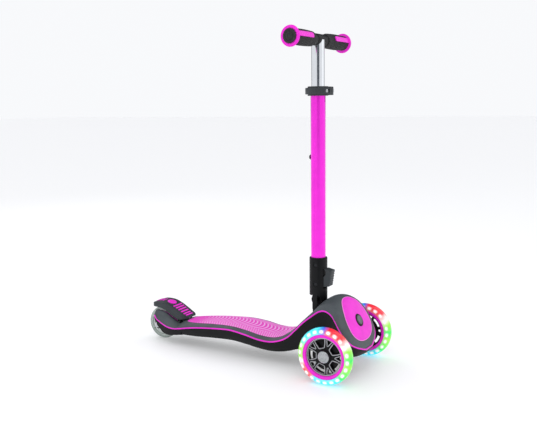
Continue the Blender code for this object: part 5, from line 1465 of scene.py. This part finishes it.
def wrapped_tongue(side):
    """The pink tongue: a fine grid laid round the grip's front."""
    def place(a, b):
        x = PRONG_END + (FLANGE_X + 0.0005 - PRONG_END) * b
        tip = sqrt(1 - (1 - min(b / 0.05, 1.0)) ** 2)
        angle = (-1 + 2 * a) * PRONG_SPAN * (0.35 + 0.65 * tip)
        share = min(max((x - GRIP_START) / (GRIP_END - GRIP_START), 0.0), 1.0)
        radius = GRIP_R + 0.0010 * sin(share * pi) + 0.0010
        return Vector((side * x, -radius * cos(angle), radius * sin(angle)))
    piece = skin(14, 60, place)
    if side > 0:
        take(piece)
        bpy.ops.object.mode_set(mode='EDIT')
        bpy.ops.mesh.select_all(action='SELECT')
        bpy.ops.mesh.flip_normals()
        bpy.ops.object.mode_set(mode='OBJECT')
    apply_modifier(piece, 'SOLIDIFY', thickness=0.0020, offset=0.0)
    round_edges(piece, 0.0006, 2, 50)
    return stand_on(piece, Matrix.Rotation(PRONG_TILT, 4, 'X'), BAR)


FLANGE_R = (FLANGE_HIGH.z - FLANGE_LOW.z) / 2
CAP_R = 0.0145
for side, label in SIDES:
    turn = facing_out(side)
    grip = stand_on(ring_path(grip_profile(), 72), turn, BAR)
    done(grip, "rubber_grip_" + label, "t_bar", BLACK_RUBBER, "black_rubber", "grip_" + label,
         angle=30)
    flange = ring_path([(BAR_R + GAP, FLANGE_X), (FLANGE_R - 0.0022, FLANGE_X),
                        (FLANGE_R - 0.0007, FLANGE_X + 0.0006), (FLANGE_R, FLANGE_X + 0.0020),
                        (FLANGE_R - 0.0004, FLANGE_END - 0.0010),
                        (FLANGE_R - 0.0016, FLANGE_END), (CAP_R + 0.0012, FLANGE_END),
                        (CAP_R + 0.0006, FLANGE_END - 0.0006),
                        (BAR_R + GAP, FLANGE_END - 0.0006)], 80)
    stand_on(flange, turn, BAR)
    flange = join_all([flange, wrapped_tongue(side)])
    done(flange, "pink_flange_" + label, "t_bar", PINK_PLASTIC, "pink_plastic",
         "grip_flange_" + label, angle=40)
    base, top = sorted(abs(corner.x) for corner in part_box("end_cap_" + label))
    cap = ring_path([(0.0010, top - 0.0009), (0.0048, top - 0.0009), (0.0054, top - 0.0001),
                     (0.0072, top), (0.0078, top - 0.0009), (0.0098, top - 0.0009),
                     (0.0104, top), (CAP_R - 0.0016, top), (CAP_R - 0.0003, top - 0.0006),
                     (CAP_R, base + 0.0006), (CAP_R, base), (0.0010, base)], 64, closed=False)
    stand_on(cap, turn, BAR)
    done(cap, "end_plug_" + label, "t_bar", BLACK_RUBBER, "black_rubber", "end_cap_" + label,
         angle=40)

# %% [markdown]
# The small working parts (pins, bolts, bearings, springs, the steering linkage) have
# the right shape already, so their CAD nodes stay. Each takes the finish of the real
# part: zinc on fasteners, black moulding on the steering forks, chrome on the nut.

# %% Give the CAD nodes that stay their finishes
BLACKENED = moulded("blackened_steel", (0.020, 0.021, 0.023), 0.34, metallic=0.7)
NODE_FINISHES = {
    "black_plastic": BLACK_PLASTIC, "slate_grey_plastic": DARK_SLATE,
    "pink_plastic": PINK_PLASTIC, "magenta_anodised": MAGENTA_TUBE, "chrome": CHROME,
    "zinc_steel": STEEL, "black_rubber": BLACK_RUBBER, "light_up_tyre": WHITE_CORE,
    "clear_grey_tyre": WHITE_CORE, "silver_plastic": SILVER_PLASTIC, "white_core": WHITE_CORE,
}
SLOT_OF = {part["node"]: part["material_slot"] for part in frame["record"]["subparts"]}
PAINTED = {"fold_bracket": BLACK_PLASTIC, "fold_pin": BLACKENED, "lever_pin": BLACKENED,
           "clamp_bolt": BLACKENED, "brake_pin": BLACKENED, "collar_bolt": STEEL}
kept = 0
for node, piece in frame["nodes"].items():
    if piece.hide_render:
        continue
    for material_slot in piece.material_slots:
        material_slot.material = PAINTED.get(node, NODE_FINISHES[SLOT_OF[node]])
    kept += 1
print("CAD nodes still shown:", kept)

# %% [markdown]
# The scooter stands on one wide, plain, pale floor. The floor gives off a faint light
# of its own, so that it stays nearly white far from the scooter, where the lamps don't
# reach, and almost meets the pale world behind it.

# %% Floor
FLOOR_SIZE, FLOOR_GLOW = 60.0, 0.22
fresh_start()
bpy.ops.mesh.primitive_plane_add(size=FLOOR_SIZE, location=(0.0, 0.0, -0.0002))
floor = bpy.context.object
floor.name = "studio_floor"
floor_paint, tree, shader, where = new_finish("studio_floor", 0.55)
FLOOR_COLOUR = (0.86, 0.86, 0.87)
tint = noise(tree, where, 3.0)
link(tree, ramp(tree, tint, [(0.0, shade(FLOOR_COLOUR, 0.99)), (1.0, FLOOR_COLOUR)]),
     shader.inputs["Base Color"])
shader.inputs["Emission Color"].default_value = (1.0, 1.0, 1.0, 1.0)
shader.inputs["Emission Strength"].default_value = FLOOR_GLOW
floor.data.materials.append(floor_paint)
print("floor ready")

# %% [markdown]
# Soft light comes from large panels: a key above and to the camera's side, a fill
# opposite, and a long strip behind for the bright line along the tubes. The world
# gives an even pale light, so shadows stay faint as on a shop's white table. Shiny
# tubes need something dark to reflect, or they look like paper. So reflections see a
# dim strip in front and another behind, as black cards give in a studio.

# %% Lights
def panel(name, place, target, width, height, power):
    """A rectangular light aimed at a point."""
    light = bpy.data.lights.new(name, 'AREA')
    light.shape = 'RECTANGLE'
    light.size = width
    light.size_y = height
    light.energy = power
    holder = bpy.data.objects.new(name, light)
    holder.location = place
    holder.rotation_mode = 'QUATERNION'
    aim = Vector(target) - Vector(place)
    holder.rotation_quaternion = aim.to_track_quat('-Z', 'Y')
    bpy.context.scene.collection.objects.link(holder)
    return holder


MIDDLE = (0.0, 0.0, 0.30)
panel("key_light", (-1.9, -1.2, 2.3), MIDDLE, 1.6, 1.6, 9.0)
panel("fill_light", (1.2, -2.4, 1.4), MIDDLE, 1.8, 1.8, 3.0)
panel("back_light", (1.4, 1.8, 1.9), MIDDLE, 0.8, 2.2, 6.0)
world = bpy.data.worlds.new("studio")
world.use_nodes = True
sky = world.node_tree
DARK_HEADING = radians(-150.0)
AMBIENT = 0.97
way = sky.nodes.new('ShaderNodeTexCoord').outputs["Generated"]
parts = sky.nodes.new('ShaderNodeSeparateXYZ')
link(sky, way, parts.inputs[0])
calc = sums(sky)
heading = calc('ARCTAN2', parts.outputs["Y"], parts.outputs["X"])
facing = calc('COSINE', calc('SUBTRACT', heading, DARK_HEADING))
facing = calc('MULTIPLY', calc('ADD', facing, 1.0), 0.5)
PALE, DIM = (0.97, 0.98, 1.0), (0.10, 0.11, 0.13)
room = ramp(sky, facing, [(0.0, DIM), (0.07, DIM), (0.13, PALE), (0.95, PALE), (0.985, DIM)])
rays = sky.nodes.new('ShaderNodeLightPath')
seen = sky.nodes.new('ShaderNodeMix')
seen.data_type = 'RGBA'
link(sky, rays.outputs["Is Glossy Ray"], seen.inputs[0])
seen.inputs[6].default_value = (*PALE, 1.0)
link(sky, room, seen.inputs[7])
background = sky.nodes["Background"]
link(sky, seen.outputs[2], background.inputs["Color"])
background.inputs["Strength"].default_value = AMBIENT
bpy.context.scene.world = world
bpy.context.scene.view_settings.view_transform = 'Standard'
print("lights ready")

# %% [markdown]
# The camera looks at the scooter's right-hand side from ahead and slightly above, with
# a normal lens. Its back vector is worked out from an azimuth and an elevation, and a
# small roll levels the view.

# %% Camera
AZIMUTH = radians(-59.989)
ELEVATION = radians(8.567)
ROLL = radians(-0.678)
TARGET = Vector((0.0, -0.04425, 0.3129))
DISTANCE = 1.7162
back = Vector((sin(AZIMUTH) * cos(ELEVATION), -cos(AZIMUTH) * cos(ELEVATION), sin(ELEVATION)))
right = Vector((cos(AZIMUTH), sin(AZIMUTH), 0.0))
up = back.cross(right)
rolled_right = right * cos(ROLL) + up * sin(ROLL)
rolled_up = up * cos(ROLL) - right * sin(ROLL)
lens = bpy.data.cameras.new("studio_camera")
lens.lens = 51.548
lens.sensor_width = 36.0
camera = bpy.data.objects.new("studio_camera", lens)
camera.matrix_world = (Matrix.Translation(TARGET + back * DISTANCE)
                       @ Matrix((rolled_right, rolled_up, back)).transposed().to_4x4())
bpy.context.scene.collection.objects.link(camera)
bpy.context.scene.camera = camera
print("camera at", camera.location)

# %% [markdown]
# The last cell leaves edit mode and clears the selection.

# %% Clear the selection
fresh_start()
